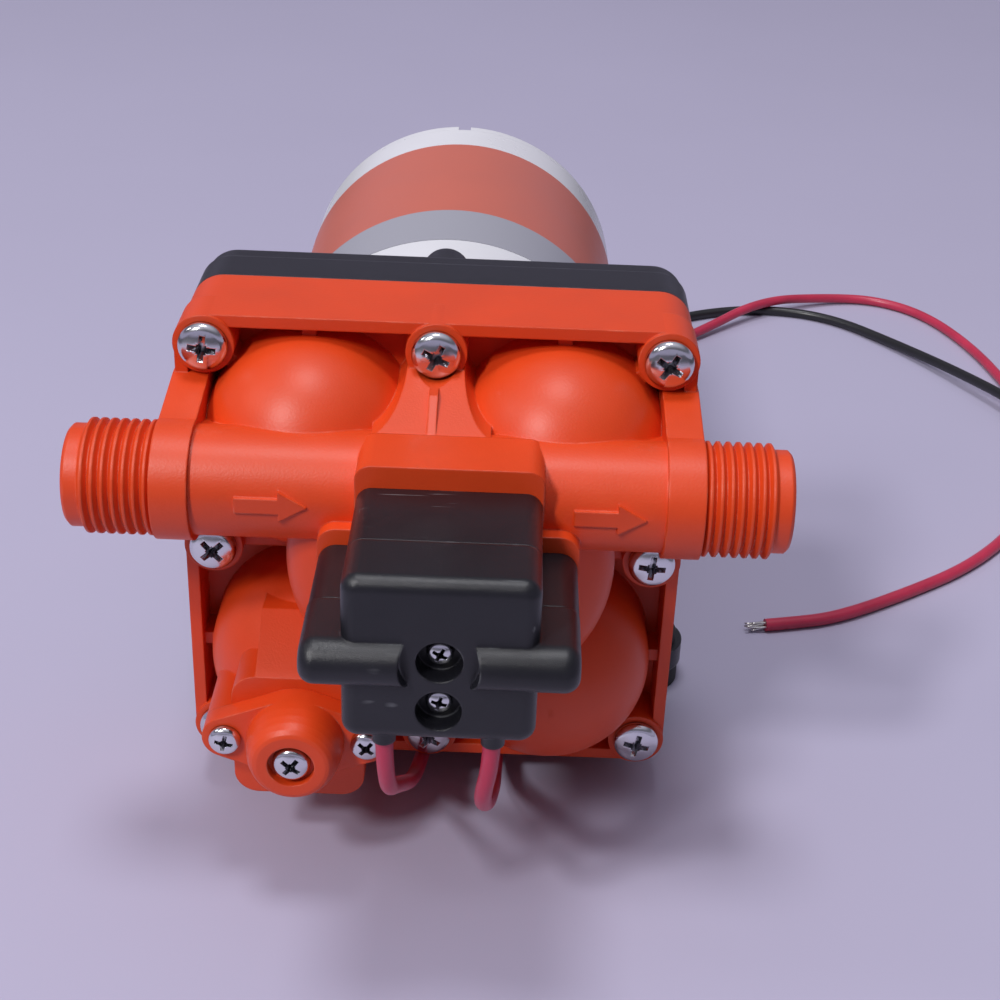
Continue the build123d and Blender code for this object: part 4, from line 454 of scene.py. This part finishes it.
@dataclass(frozen=True)
class Palette:
    """Every finish of the pump."""

    # The mouldings' pale edge lines are partly wear, partly painted highlight.
    orange: Finish = Finish("orange_moulding", (0.72, 0.060, 0.008), 0.43, mottle=0.05,
                            grain_scale=2400.0, grain_strength=0.14, edge_radius=0.00045,
                            edge_colour=(0.95, 0.45, 0.30), edge_wear_and_sheen=0.45, subsurface=0.05)
    black: Finish = Finish("black_moulding", (0.009, 0.009, 0.0125), 0.30, mottle=0.25,
                           grain_scale=7000.0, grain_strength=0.25, edge_radius=0.0006,
                           edge_colour=(0.35, 0.36, 0.38), edge_wear_and_sheen=0.5, scratches=0.35)
    natural: Finish = Finish("natural_moulding", (0.72, 0.71, 0.66), 0.5)
    filled: Finish = Finish("filled_moulding", (0.06, 0.06, 0.07), 0.6)
    rubber: Finish = Finish("foot_rubber", (0.02, 0.02, 0.021), 0.75, grain_strength=0.3)
    paint: Finish = Finish("white_paint", (0.80, 0.80, 0.83), 0.28, mottle=0.02, grain_strength=0.02,
                           coat=0.3)
    label: LabelFoil = LabelFoil("label_foil", (0.60, 0.145, 0.095), 0.38, grain_strength=0.03,
                                 edge_radius=0.0)
    # The screws get painted shade in their recesses and narrow places.
    chrome: Finish = Finish("screw_chrome", (0.70, 0.70, 0.73), 0.17, 1.0, mottle=0.04,
                            grain_scale=900.0, grain_strength=0.05, edge_radius=0.00012,
                            painted_shade_reach=0.0009)
    zinc: Finish = Finish("zinc_steel", (0.62, 0.61, 0.58), 0.35, 1.0)
    ground: Finish = Finish("ground_steel", (0.55, 0.55, 0.57), 0.25, 1.0)
    spring: Finish = Finish("spring_steel", (0.42, 0.42, 0.44), 0.3, 1.0)
    cast: Finish = Finish("cast_metal", (0.16, 0.16, 0.165), 0.6, 0.6, grain_strength=0.4)
    copper: Finish = Finish("enamelled_copper", (0.62, 0.24, 0.10), 0.35, 0.9, mottle=0.15,
                            grain_scale=700.0, grain_strength=0.5)
    brass: Finish = Finish("plain_brass", (0.68, 0.50, 0.20), 0.3, 1.0)
    carbon: Finish = Finish("brush_carbon", (0.05, 0.05, 0.052), 0.6)
    red_lead: Finish = Finish("red_insulation", (0.50, 0.030, 0.075), 0.34, mottle=0.12,
                              mottle_scale=90.0, grain_scale=1200.0, edge_radius=0.0, subsurface=0.08)
    black_lead: Finish = Finish("black_insulation", (0.012, 0.012, 0.014), 0.36, mottle=0.2,
                                edge_radius=0.0)
    tinned: Finish = Finish("tinned_strands", (0.72, 0.70, 0.66), 0.3, 1.0, edge_radius=0.0)


NODE_FINISHES: Dict[str, str] = {
    "orange": "upper_housing bypass_cap",
    "black": "diaphragm_housing drive_housing switch_base switch_cover mounting_base micro_switch brush_card",
    "natural": "valve_plate bypass_poppet switch_plunger micro_switch_button bypass_spring_seat",
    "filled": "wobble_plate piston_caps",
    "rubber": "rubber_feet valve_plate_seal bypass_cap_seal inlet_valves outlet_valve diaphragm "
              "switch_diaphragm lead_grommets",
    "paint": "motor_can motor_end_cap",
    "label": "motor_label",
    "chrome": "flange_screws bypass_cap_screws switch_adjusting_screw switch_cover_screw "
              "bypass_adjusting_screw",
    "zinc": "motor_screws base_screws switch_base_screws hub_set_screw piston_screws",
    "ground": "motor_shaft wobble_bearing_outer_race wobble_bearing_inner_race wobble_bearing_balls "
              "front_bearing_outer_race front_bearing_inner_race front_bearing_balls armature_core",
    "spring": "bypass_spring switch_spring brush_springs switch_spring_nut",
    "cast": "eccentric_hub motor_magnets",
    "copper": "armature_windings commutator",
    "brass": "rear_bush switch_terminals",
    "carbon": "brush_left brush_right",
    "red_lead": "link_lead supply_lead_red",
    "black_lead": "supply_lead_black",
}


class Wardrobe:
    """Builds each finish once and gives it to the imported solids."""

    def __init__(self, palette: Palette) -> None:
        """Builds every finish.

        Args:
            palette: the pump's finishes.
        """
        self.materials: Dict[str, bpy.types.Material] = {
            finish.name: getattr(palette, finish.name).build() for finish in fields(palette)}

    def dress(self) -> None:
        """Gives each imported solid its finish."""
        for name, nodes in NODE_FINISHES.items():
            for node in nodes.split():
                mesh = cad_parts[node].data
                mesh.materials.clear()
                mesh.materials.append(self.materials[name])
            LOG.info("%s on %s", name, nodes)


def link(piece: bpy.types.Object) -> bpy.types.Object:
    """Puts an object into the scene.

    Args:
        piece: the object.

    Returns:
        The same object.
    """
    bpy.context.scene.collection.objects.link(piece)
    return piece


def mesh_object(name: str, mesh: bpy.types.Mesh, material: bpy.types.Material) -> bpy.types.Object:
    """Links a mesh as a new object at the origin.

    Args:
        name: the object's name.
        mesh: its mesh.
        material: its finish.

    Returns:
        The new object.
    """
    if not mesh.materials:
        mesh.materials.append(material)
    return link(bpy.data.objects.new(name, mesh))


def mesh_of(shape: bmesh.types.BMesh, name: str) -> bpy.types.Mesh:
    """Turns a closed form's faces outwards and makes it a mesh.

    Args:
        shape: the form, which is freed.
        name: the mesh's name.

    Returns:
        The mesh.
    """
    bmesh.ops.recalc_face_normals(shape, faces=shape.faces)
    mesh = bpy.data.meshes.new(name)
    shape.to_mesh(mesh)
    shape.free()
    return mesh


def plain_mesh(piece: bpy.types.Object, name: str) -> bpy.types.Mesh:
    """Turns an object with modifiers into a plain mesh.

    Args:
        piece: the object to evaluate.
        name: the new mesh's name.

    Returns:
        The evaluated mesh.
    """
    graph = bpy.context.evaluated_depsgraph_get()
    mesh = bpy.data.meshes.new_from_object(piece.evaluated_get(graph), depsgraph=graph)
    mesh.name = name
    return mesh


def smooth(mesh: bpy.types.Mesh) -> None:
    """Shades every face of a mesh smooth."""
    mesh.polygons.foreach_set("use_smooth", [True] * len(mesh.polygons))


@dataclass(frozen=True)
class CrossHeadScrew:
    """A pan head with a tapered cross recess, standing on its seat with its head up, in metres."""

    head_radius: float
    head_height: float
    shank_radius: float
    shank_length: float

    SEGMENTS: ClassVar[int] = 48
    CROWN: ClassVar[Sequence[float]] = (0.0, 0.2, 0.4, 0.58, 0.74, 0.86)
    CROWN_DROP: ClassVar[float] = 0.34
    CROWN_POWER: ClassVar[float] = 2.2
    SHOULDER: ClassVar[Sequence[Tuple[float, float]]] = (
        (0.945, 0.58), (0.985, 0.44), (1.0, 0.26), (0.995, 0.06), (0.97, 0.0))
    SHANK_STRAIGHT: ClassVar[float] = 0.97
    SHANK_TIP: ClassVar[float] = 0.6
    RECESS_REACH: ClassVar[float] = 0.58
    WING: ClassVar[float] = 0.125
    CORE: ClassVar[float] = 1.6
    CUT_LAYERS: ClassVar[Sequence[Tuple[float, float]]] = ((1.3, 1.12), (0.95, 1.0), (-0.12, 0.55))
    SAME_PLACE: ClassVar[float] = 1e-9
    EDGE_WIDTH: ClassVar[float] = 0.02
    EDGE_SEGMENTS: ClassVar[int] = 2
    EDGE_ANGLE: ClassVar[float] = 0.6
    SHARP_ANGLE: ClassVar[float] = 0.7

    def head_profile(self) -> List[Tuple[float, float]]:
        """The turned outline, as radii and heights from the top's middle to the shank's tip.

        Returns:
            The outline's points.
        """
        rise, radius = self.head_height, self.head_radius
        crown = [(radius * share, rise * (1 - self.CROWN_DROP * share ** self.CROWN_POWER))
                 for share in self.CROWN]
        shoulder = [(radius * across, rise * up) for across, up in self.SHOULDER]
        shank = [(self.shank_radius, 0.0), (self.shank_radius, -self.shank_length * self.SHANK_STRAIGHT),
                 (self.shank_radius * self.SHANK_TIP, -self.shank_length), (0.0, -self.shank_length)]
        return crown + shoulder + shank

    def turned(self) -> bpy.types.Mesh:
        """The screw before its recess is cut.

        Returns:
            A closed mesh.
        """
        shape = bmesh.new()
        rings = []
        for radius, height in self.head_profile():
            if radius == 0.0:
                rings.append([shape.verts.new((0.0, 0.0, height))])
                continue
            angles = (2 * math.pi * i / self.SEGMENTS for i in range(self.SEGMENTS))
            rings.append([shape.verts.new((radius * math.cos(a), radius * math.sin(a), height))
                          for a in angles])
        for upper, lower in zip(rings, rings[1:]):
            for i in range(self.SEGMENTS):
                j = (i + 1) % self.SEGMENTS
                corners = dict.fromkeys([upper[i % len(upper)], lower[i % len(lower)],
                                         lower[j % len(lower)], upper[j % len(upper)]])
                if len(corners) > 2:
                    shape.faces.new(list(corners))
        return mesh_of(shape, "turned_screw")

    def cutter(self) -> bpy.types.Mesh:
        """The tapered cross that leaves the recess.

        Returns:
            A closed mesh.
        """
        reach, wide = self.head_radius * self.RECESS_REACH, self.head_radius * self.WING
        core = wide * self.CORE
        outline = []
        for quarter in range(4):
            turn = Matrix.Rotation(quarter * math.pi / 2, 2)
            for x, y in ((reach, -wide), (reach, wide), (core, wide), (core, core), (wide, core)):
                outline.append(turn @ Vector((x, y)))
        outline = [p for i, p in enumerate(outline) if (p - outline[i - 1]).length > self.SAME_PLACE]
        shape = bmesh.new()
        layers = [[shape.verts.new((p.x * share, p.y * share, self.head_height * up)) for p in outline]
                  for up, share in self.CUT_LAYERS]
        count = len(outline)
        for upper, lower in zip(layers, layers[1:]):
            for i in range(count):
                shape.faces.new((upper[i], upper[(i + 1) % count], lower[(i + 1) % count], lower[i]))
        shape.faces.new(layers[0])
        shape.faces.new(list(reversed(layers[-1])))
        return mesh_of(shape, "cross_cutter")

    def build(self, name: str, material: bpy.types.Material) -> bpy.types.Object:
        """Cuts the recess and gives a helper object for instancing.

        Args:
            name: the helper's name.
            material: the screw's finish.

        Returns:
            The helper object, hidden from renders.
        """
        body = mesh_object(name + "_turned", self.turned(), material)
        cutter = mesh_object(name + "_cutter", self.cutter(), material)
        cut = body.modifiers.new("recess", "BOOLEAN")
        cut.object, cut.operation, cut.solver = cutter, "DIFFERENCE", "EXACT"
        soft = body.modifiers.new("edges", "BEVEL")
        soft.width, soft.segments = self.head_radius * self.EDGE_WIDTH, self.EDGE_SEGMENTS
        soft.limit_method, soft.angle_limit = "ANGLE", self.EDGE_ANGLE
        mesh = plain_mesh(body, name + "_form")
        smooth(mesh)
        mesh.set_sharp_from_angle(angle=self.SHARP_ANGLE)
        for helper in (body, cutter):
            bpy.data.objects.remove(helper)
        form = mesh_object(name + "_form", mesh, material)
        form.hide_render = form.hide_viewport = True
        return form


@dataclass(frozen=True)
class ScrewSet:
    """Screws of one size, set on points by a node tree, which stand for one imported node.

    Seats are in millimetres and spins in degrees.
    """

    node: str
    screw: CrossHeadScrew
    seats: Sequence[Point]
    spins: Sequence[float]
    carrier: Carrier = Carrier.PUMP
    slot: str = "screw_chrome"

    FRONTWARDS: ClassVar[float] = math.pi / 2
    SIZE_INPUT: ClassVar[str] = "Screw size"

    def tree(self, name: str, form: bpy.types.Object, material: bpy.types.Material) -> bpy.types.NodeTree:
        """Builds the tree that sets a screw on each seat.

        Args:
            name: the tree's name.
            form: the screw to set.
            material: its finish.

        Returns:
            The node tree.
        """
        tree = bpy.data.node_groups.new(name, "GeometryNodeTree")
        tree.interface.new_socket("Seats", in_out="INPUT", socket_type="NodeSocketGeometry")
        tree.interface.new_socket(self.SIZE_INPUT, in_out="INPUT", socket_type="NodeSocketFloat")
        tree.interface.new_socket("Screws", in_out="OUTPUT", socket_type="NodeSocketGeometry")
        sheet = NodeSheet(tree)
        entry = sheet.add("NodeGroupInput")
        spin = sheet.add("GeometryNodeInputNamedAttribute", {"Name": "spin"}, data_type="FLOAT").outputs[0]
        lean = sheet.add("ShaderNodeCombineXYZ", {0: self.FRONTWARDS, 1: spin})
        screw = sheet.add("GeometryNodeObjectInfo", {"Object": form})
        points = sheet.add("GeometryNodeMeshToPoints", {"Mesh": entry.outputs[0]})
        placed = sheet.add("GeometryNodeInstanceOnPoints", {
            "Points": points.outputs[0], "Instance": screw.outputs["Geometry"], "Rotation": lean.outputs[0],
            "Scale": entry.outputs[1]})
        real = sheet.add("GeometryNodeRealizeInstances", {0: placed.outputs[0]})
        coated = sheet.add("GeometryNodeSetMaterial", {"Geometry": real.outputs[0], "Material": material})
        leave = sheet.add("NodeGroupOutput")
        tree.links.new(coated.outputs[0], leave.inputs[0])
        return tree

    def build(self, material: bpy.types.Material) -> None:
        """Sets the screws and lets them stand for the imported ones.

        Args:
            material: the screws' finish.
        """
        name = self.node + "_drawn"
        form = self.screw.build(name, material)
        seats = bpy.data.meshes.new(name + "_seats")
        seats.from_pydata([tuple(c * MM for c in seat) for seat in self.seats], [], [])
        seats.attributes.new("spin", "FLOAT", "POINT").data.foreach_set(
            "value", [math.radians(spin) for spin in self.spins])
        holder = link(bpy.data.objects.new(name + "_seats", seats))
        setter = holder.modifiers.new("screws", "NODES")
        setter.node_group = self.tree(name + "_set", form, material)
        size = next(i.identifier for i in setter.node_group.interface.items_tree if i.name == self.SIZE_INPUT)
        setter[size] = 1.0
        piece = mesh_object(name, plain_mesh(holder, name), material)
        for helper in (holder, form):
            bpy.data.objects.remove(helper)
        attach(piece, self.carrier.value)
        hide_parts(self.node)
        LOG.info("%s: %d screws, %d faces", name, len(self.seats), len(piece.data.polygons))


@dataclass(frozen=True)
class Lead:
    """A lead of round section on one smooth line through its given places, in millimetres."""

    node: str
    route: Sequence[Point]
    finish: str
    diameter: float = 3.0
    resolution: int = 10
    sides: int = 5

    def line(self, name: str, bevel: float) -> bpy.types.Object:
        """The lead's curve.

        Args:
            name: the object's name.
            bevel: the section's radius in metres, or 0 for a bare line.

        Returns:
            The curve object.
        """
        curve = bpy.data.curves.new(name, "CURVE")
        curve.dimensions = "3D"
        spline = curve.splines.new("NURBS")
        spline.points.add(len(self.route) - 1)
        for point, (x, y, z) in zip(spline.points, self.route):
            point.co = (x * MM, y * MM, z * MM, 1.0)
        spline.order_u = 3
        spline.use_endpoint_u = True
        spline.resolution_u = self.resolution
        curve.bevel_depth = bevel
        curve.bevel_resolution = self.sides
        curve.use_fill_caps = True
        return link(bpy.data.objects.new(name, curve))

    def length(self) -> float:
        """The line's length.

        Returns:
            The length of its evaluated polyline, in metres.
        """
        bare = self.line(self.node + "_line", 0.0)
        mesh = plain_mesh(bare, self.node + "_line")
        points = [v.co.copy() for v in mesh.vertices]
        bpy.data.objects.remove(bare)
        bpy.data.meshes.remove(mesh)
        return sum((b - a).length for a, b in zip(points, points[1:]))

    def build(self, material: bpy.types.Material, slot: str) -> bpy.types.Object:
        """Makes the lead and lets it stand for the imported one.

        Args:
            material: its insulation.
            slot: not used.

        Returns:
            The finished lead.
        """
        piece = self.line(self.node + "_drawn", self.diameter / 2 * MM)
        piece.data.materials.append(material)
        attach(piece, Carrier.PUMP.value)
        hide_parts(self.node)
        LOG.info("%s: %.0f mm long", piece.name, self.length() / MM)
        return piece


@dataclass(frozen=True)
class Strands:
    """The bare strands that fan a little out of a lead's end, in millimetres."""

    count: int = 9
    radius: float = 0.28
    reach: float = 5.0
    steps: int = 5
    sides: int = 6
    inset: float = 0.8
    spread: float = 0.95
    root_share: float = 0.8
    fan_share: float = 0.25
    shortest_share: float = 0.82
    swirl: float = 0.25
    swirl_turn: float = 4.0
    taper: float = 0.25
    floor_gap: float = 0.1

    GOLDEN_ANGLE: ClassVar[float] = 2.399963
    UNEVENNESS: ClassVar[float] = 1.7

    def build(self, name: str, before: Vector, tip: Vector, material: bpy.types.Material) -> bpy.types.Object:
        """Makes the strands of one lead's end.

        Args:
            name: the piece's name.
            before: the last place of the lead before its tip.
            tip: where the insulation ends.
            material: their finish.

        Returns:
            The finished strands.
        """
        ahead = (tip - before).normalized()
        across = ahead.cross(Vector((0, 0, 1))).normalized()
        rise = across.cross(ahead).normalized()
        shape = bmesh.new()
        for number in range(self.count):
            angle = number * self.GOLDEN_ANGLE
            side = across * math.cos(angle) + rise * math.sin(angle)
            spread = self.spread * math.sqrt((number + 0.5) / self.count)
            uneven = (1 - self.shortest_share) * math.sin(number * self.UNEVENNESS)
            run = self.inset + self.reach * (self.shortest_share + uneven)
            previous: List[bmesh.types.BMVert] = []
            for step in range(self.steps + 1):
                share = step / self.steps
                middle = tip + ahead * (run * share - self.inset)
                middle += side * spread * (self.root_share + self.fan_share * share)
                middle += across * self.swirl * math.sin(share * self.swirl_turn + number)
                middle.z = max(middle.z, self.radius + self.floor_gap)
                radius = self.radius * (1 - self.taper * share)
                ring = [shape.verts.new((middle + (across * math.cos(a) + rise * math.sin(a)) * radius) * MM)
                        for a in (i * 2 * math.pi / self.sides for i in range(self.sides))]
                for i in range(self.sides if previous else 0):
                    j = (i + 1) % self.sides
                    shape.faces.new((previous[i], previous[j], ring[j], ring[i]))
                if not previous:
                    shape.faces.new(list(reversed(ring)))
                previous = ring
            shape.faces.new(previous)
        mesh = mesh_of(shape, name)
        smooth(mesh)
        piece = mesh_object(name, mesh, material)
        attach(piece, Carrier.PUMP.value)
        LOG.info("%s: %d strands", name, self.count)
        return piece


@dataclass
class Harness:
    """The link lead and the two supply leads."""

    link: Lead = Lead("link_lead", (
        (-5.1, -140.3, 60.6), (-5.1, -140.3, 43), (-3.5, -126, 33), (-2.8, -98, 11.5), (-1.6, -84, 6.0),
        (-0.4, -66, 4.4), (0.2, -48, 3.2), (2.0, -10, 3.2), (0.5, 24, 3.2), (0.5, 58, 3.2), (-1.5, 76, 3.4),
        (-4.5, 88, 12), (-6, 82, 29), (-6, 40, 29)), "red_lead")
    red: Lead = Lead("supply_lead_red", (
        (12.8, -140.3, 60.6), (12.8, -140.3, 50), (11.2, -138.5, 40), (12.3, -127, 30), (13.4, -99, 12),
        (13.6, -86, 6.2), (14.2, -66, 4.4), (14.6, -48, 3.2), (15.4, -10, 3.2), (14, 24, 3.2), (14, 58, 3.2),
        (18.5, 80, 1.7), (30, 102, 1.6), (50, 128, 1.6), (76.3, 155, 2.1), (98, 175, 5.8), (122, 189, 2.1),
        (140, 190, 1.6), (155, 178, 1.6), (165, 152, 1.6), (170, 122, 1.6), (171, 90, 1.6), (163, 58, 1.6),
        (150, 31, 1.6), (133, 10.5, 1.6), (113, -4.5, 1.6), (95, -16, 1.6), (83.4, -19.2, 1.6),
        (77.2, -20.5, 1.6)), "red_lead")
    black: Lead = Lead("supply_lead_black", (
        (6, 40, 29), (6, 74, 29), (9, 90, 14), (18, 103, 3), (38, 133, 1.6), (58, 158, 1.6), (78, 172, 1.6),
        (100, 178, 1.6), (122, 172.5, 1.6), (141, 149.5, 2.1), (155, 126, 4.0), (168, 100, 5.8),
        (178, 72, 4.0), (184, 40, 1.6), (186, 10, 1.6)), "black_lead")
    strands: Strands = Strands()

    def build(self, wardrobe: Wardrobe) -> None:
        """Args:
            wardrobe: the finishes.
        """
        self.link.build(wardrobe.materials[self.link.finish], "lead_red")
        before, tip = (Vector(place) for place in self.red.route[-2:])
        strands = self.strands.build("red_lead_strands", before, tip, wardrobe.materials["tinned"])
        for lead, slot, extra in ((self.red, "lead_red", [strands]), (self.black, "lead_black", [])):
            piece = lead.build(wardrobe.materials[lead.finish], slot)
            lead.length()


@dataclass
class Head:
    """The fasteners that show on the pump's head; places are in millimetres."""

    flange_screw: CrossHeadScrew = CrossHeadScrew(4.55 * MM, 2.6 * MM, 1.9 * MM, 33.5 * MM)
    cap_screw: CrossHeadScrew = CrossHeadScrew(3.0 * MM, 2.0 * MM, 1.3 * MM, 13.9 * MM)
    bypass_adjuster: CrossHeadScrew = CrossHeadScrew(3.5 * MM, 2.3 * MM, 2.9 * MM, 5.7 * MM)
    cover_screw: CrossHeadScrew = CrossHeadScrew(2.3 * MM, 1.8 * MM, 1.2 * MM, 18.7 * MM)
    switch_adjuster: CrossHeadScrew = CrossHeadScrew(2.3 * MM, 1.8 * MM, 1.5 * MM, 13.4 * MM)
    axis_height: float = 56.0
    flange_seat: float = -84.7
    flange_spacing: float = 42.0
    flange_spins: Sequence[float] = (20, 48, 8, 35, 27, 12, 5, 32)
    bypass_x: float = -23.5
    bypass_z: float = 31.0
    lobe_reach: float = 13.1
    cap_face: float = -112.0
    cap_spins: Sequence[float] = (12, 40)
    recess_floor: float = -118.0
    bypass_spins: Sequence[float] = (38,)
    switch_x: float = 3.85
    well_floor: float = -139.0
    lower_well: float = 61.2
    cover_spins: Sequence[float] = (15,)
    upper_well: float = 70.6
    adjuster_spins: Sequence[float] = (28,)

    def sets(self) -> List[ScrewSet]:
        """Every set of screws, in the order of their making.

        Returns:
            The sets.
        """
        steps = (-self.flange_spacing, 0.0, self.flange_spacing)
        grid = [(x, self.flange_seat, self.axis_height + z) for x in steps for z in steps if x or z]
        caps = [(self.bypass_x + side * self.lobe_reach, self.cap_face, self.bypass_z) for side in (-1, 1)]
        return [
            ScrewSet("flange_screws", self.flange_screw, grid, self.flange_spins),
            ScrewSet("bypass_cap_screws", self.cap_screw, caps, self.cap_spins),
            ScrewSet("bypass_adjusting_screw", self.bypass_adjuster,
                     [(self.bypass_x, self.recess_floor, self.bypass_z)], self.bypass_spins,
                     Carrier.BYPASS_SCREW),
            ScrewSet("switch_cover_screw", self.cover_screw,
                     [(self.switch_x, self.well_floor, self.lower_well)], self.cover_spins),
            ScrewSet("switch_adjusting_screw", self.switch_adjuster,
                     [(self.switch_x, self.well_floor, self.upper_well)], self.adjuster_spins,
                     Carrier.PRESSURE_SCREW),
        ]

    def build(self, wardrobe: Wardrobe) -> None:
        """Sets every screw of the head.

        Args:
            wardrobe: the finishes.
        """
        for screws in self.sets():
            screws.build(wardrobe.materials["chrome"])


@dataclass(frozen=True)
class Lamp:
    """A round lamp that faces the pump."""

    name: str
    place: Point
    size: float
    power: float
    colour: Colour

    AIM: ClassVar[Point] = (0.0, -0.06, 0.04)

    def hang(self) -> None:
        """Hangs the lamp."""
        data = bpy.data.lights.new(self.name, "AREA")
        data.shape, data.size, data.energy, data.color = "DISK", self.size, self.power, self.colour
        lamp = link(bpy.data.objects.new(self.name, data))
        facing = (Vector(self.AIM) - Vector(self.place)).to_track_quat("-Z", "Y").to_matrix().to_4x4()
        lamp.matrix_world = Matrix.Translation(self.place) @ facing


@dataclass
class Studio:
    """Pale floor, soft lamps and the camera, which stands where the photograph was taken."""

    camera_place: Point = (0.0121, -0.369, 0.2254)
    pitch: float = 28.91
    roll: float = 2.28
    yaw: float = -0.08
    lens: float = 62.1
    sensor: float = 36.0
    nearest: float = 0.01
    floor_reach: float = 6.0
    paper: SweepPaper = SweepPaper("pale_paper", (0.465, 0.437, 0.585), 0.62, mottle=0.02, mottle_scale=3.0,
                                   grain_scale=500.0, grain_strength=0.02, edge_radius=0.0)
    lamps: Sequence[Lamp] = (
        Lamp("low_lamp", (-0.90, -1.43, 1.41), 0.24, 13.5, (1.0, 0.99, 1.0)),
        Lamp("high_lamp", (-0.84, -1.19, 1.65), 0.24, 12.5, (1.0, 0.985, 0.99)),
        Lamp("left_lamp", (-1.65, -0.24, 1.43), 0.40, 3.0, (0.99, 0.985, 1.0)),
        Lamp("overhead_lamp", (-0.10, -0.10, 2.10), 0.55, 13.0, (0.97, 0.975, 1.0)),
    )
    sky: Sequence[Tuple[float, Colour]] = ((0.50, (0.033, 0.033, 0.038)), (0.66, (0.077, 0.077, 0.093)),
                                           (0.80, (0.176, 0.170, 0.203)), (1.0, (0.605, 0.594, 0.693)))
    backdrop_top: float = 0.42
    backdrop_gain: float = 6.0

    def camera(self) -> None:
        """Places the camera."""
        data = bpy.data.cameras.new("camera")
        data.lens, data.sensor_width, data.clip_start = self.lens, self.sensor, self.nearest
        pitch, roll, yaw = (math.radians(a) for a in (self.pitch, self.roll, self.yaw))
        turn = Matrix.Rotation(yaw, 3, "Z")
        right = turn @ Vector((1, 0, 0))
        ahead = turn @ Vector((0, math.cos(pitch), -math.sin(pitch)))
        above = turn @ Vector((0, math.sin(pitch), math.cos(pitch)))
        leaned_right = right * math.cos(roll) + above * math.sin(roll)
        leaned_above = above * math.cos(roll) - right * math.sin(roll)
        camera = link(bpy.data.objects.new("camera", data))
        camera.matrix_world = Matrix.Translation(self.camera_place) @ Matrix(
            (leaned_right, leaned_above, -ahead)).transposed().to_4x4()
        bpy.context.scene.camera = camera

    def floor(self) -> None:
        """Lays the floor."""
        mesh = bpy.data.meshes.new("floor")
        far = self.floor_reach
        mesh.from_pydata([(-far, -far, 0), (far, -far, 0), (far, far, 0), (-far, far, 0)], [], [(0, 1, 2, 3)])
        mesh_object("floor", mesh, self.paper.build())

    def light(self) -> None:
        """Hangs the lamps and sets the world's glow, with a pale backdrop low down where it is seen."""
        for lamp in self.lamps:
            lamp.hang()
        world = bpy.data.worlds.new("studio_world")
        world.use_nodes = True
        sheet = NodeSheet(world.node_tree)
        way = sheet.add("ShaderNodeTexCoord").outputs["Generated"]
        height = sheet.add("ShaderNodeSeparateXYZ", {0: way}).outputs["Z"]
        sky = sheet.ramp(sheet.math("MULTIPLY", sheet.math("ADD", height, 1.0), 0.5), self.sky)
        rays = sheet.add("ShaderNodeLightPath").outputs
        seen = sheet.math("ADD", rays["Is Camera Ray"], rays["Is Glossy Ray"], True)
        seen = sheet.math("ADD", seen, rays["Is Transmission Ray"], True)
        low = sheet.below(height, self.backdrop_top, self.backdrop_gain)
        colour = sheet.mix(sheet.math("MULTIPLY", low, seen), sky, BACKDROP_COLOUR)
        glow = sheet.add("ShaderNodeBackground", {"Color": colour, "Strength": 1.0})
        output = sheet.add("ShaderNodeOutputWorld")
        sheet.tree.links.new(glow.outputs[0], output.inputs[0])
        bpy.context.scene.world = world
        bpy.context.scene.view_settings.view_transform = "Standard"


def main() -> None:
    """Builds the camera, the leads and the head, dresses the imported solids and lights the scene."""
    logging.basicConfig(level=logging.INFO)
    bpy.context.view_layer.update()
    studio = Studio()
    studio.camera()
    wardrobe = Wardrobe(Palette())
    Harness().build(wardrobe)
    wardrobe.dress()
    Head().build(wardrobe)
    studio.floor()
    studio.light()


if __name__ == "__main__":
    main()
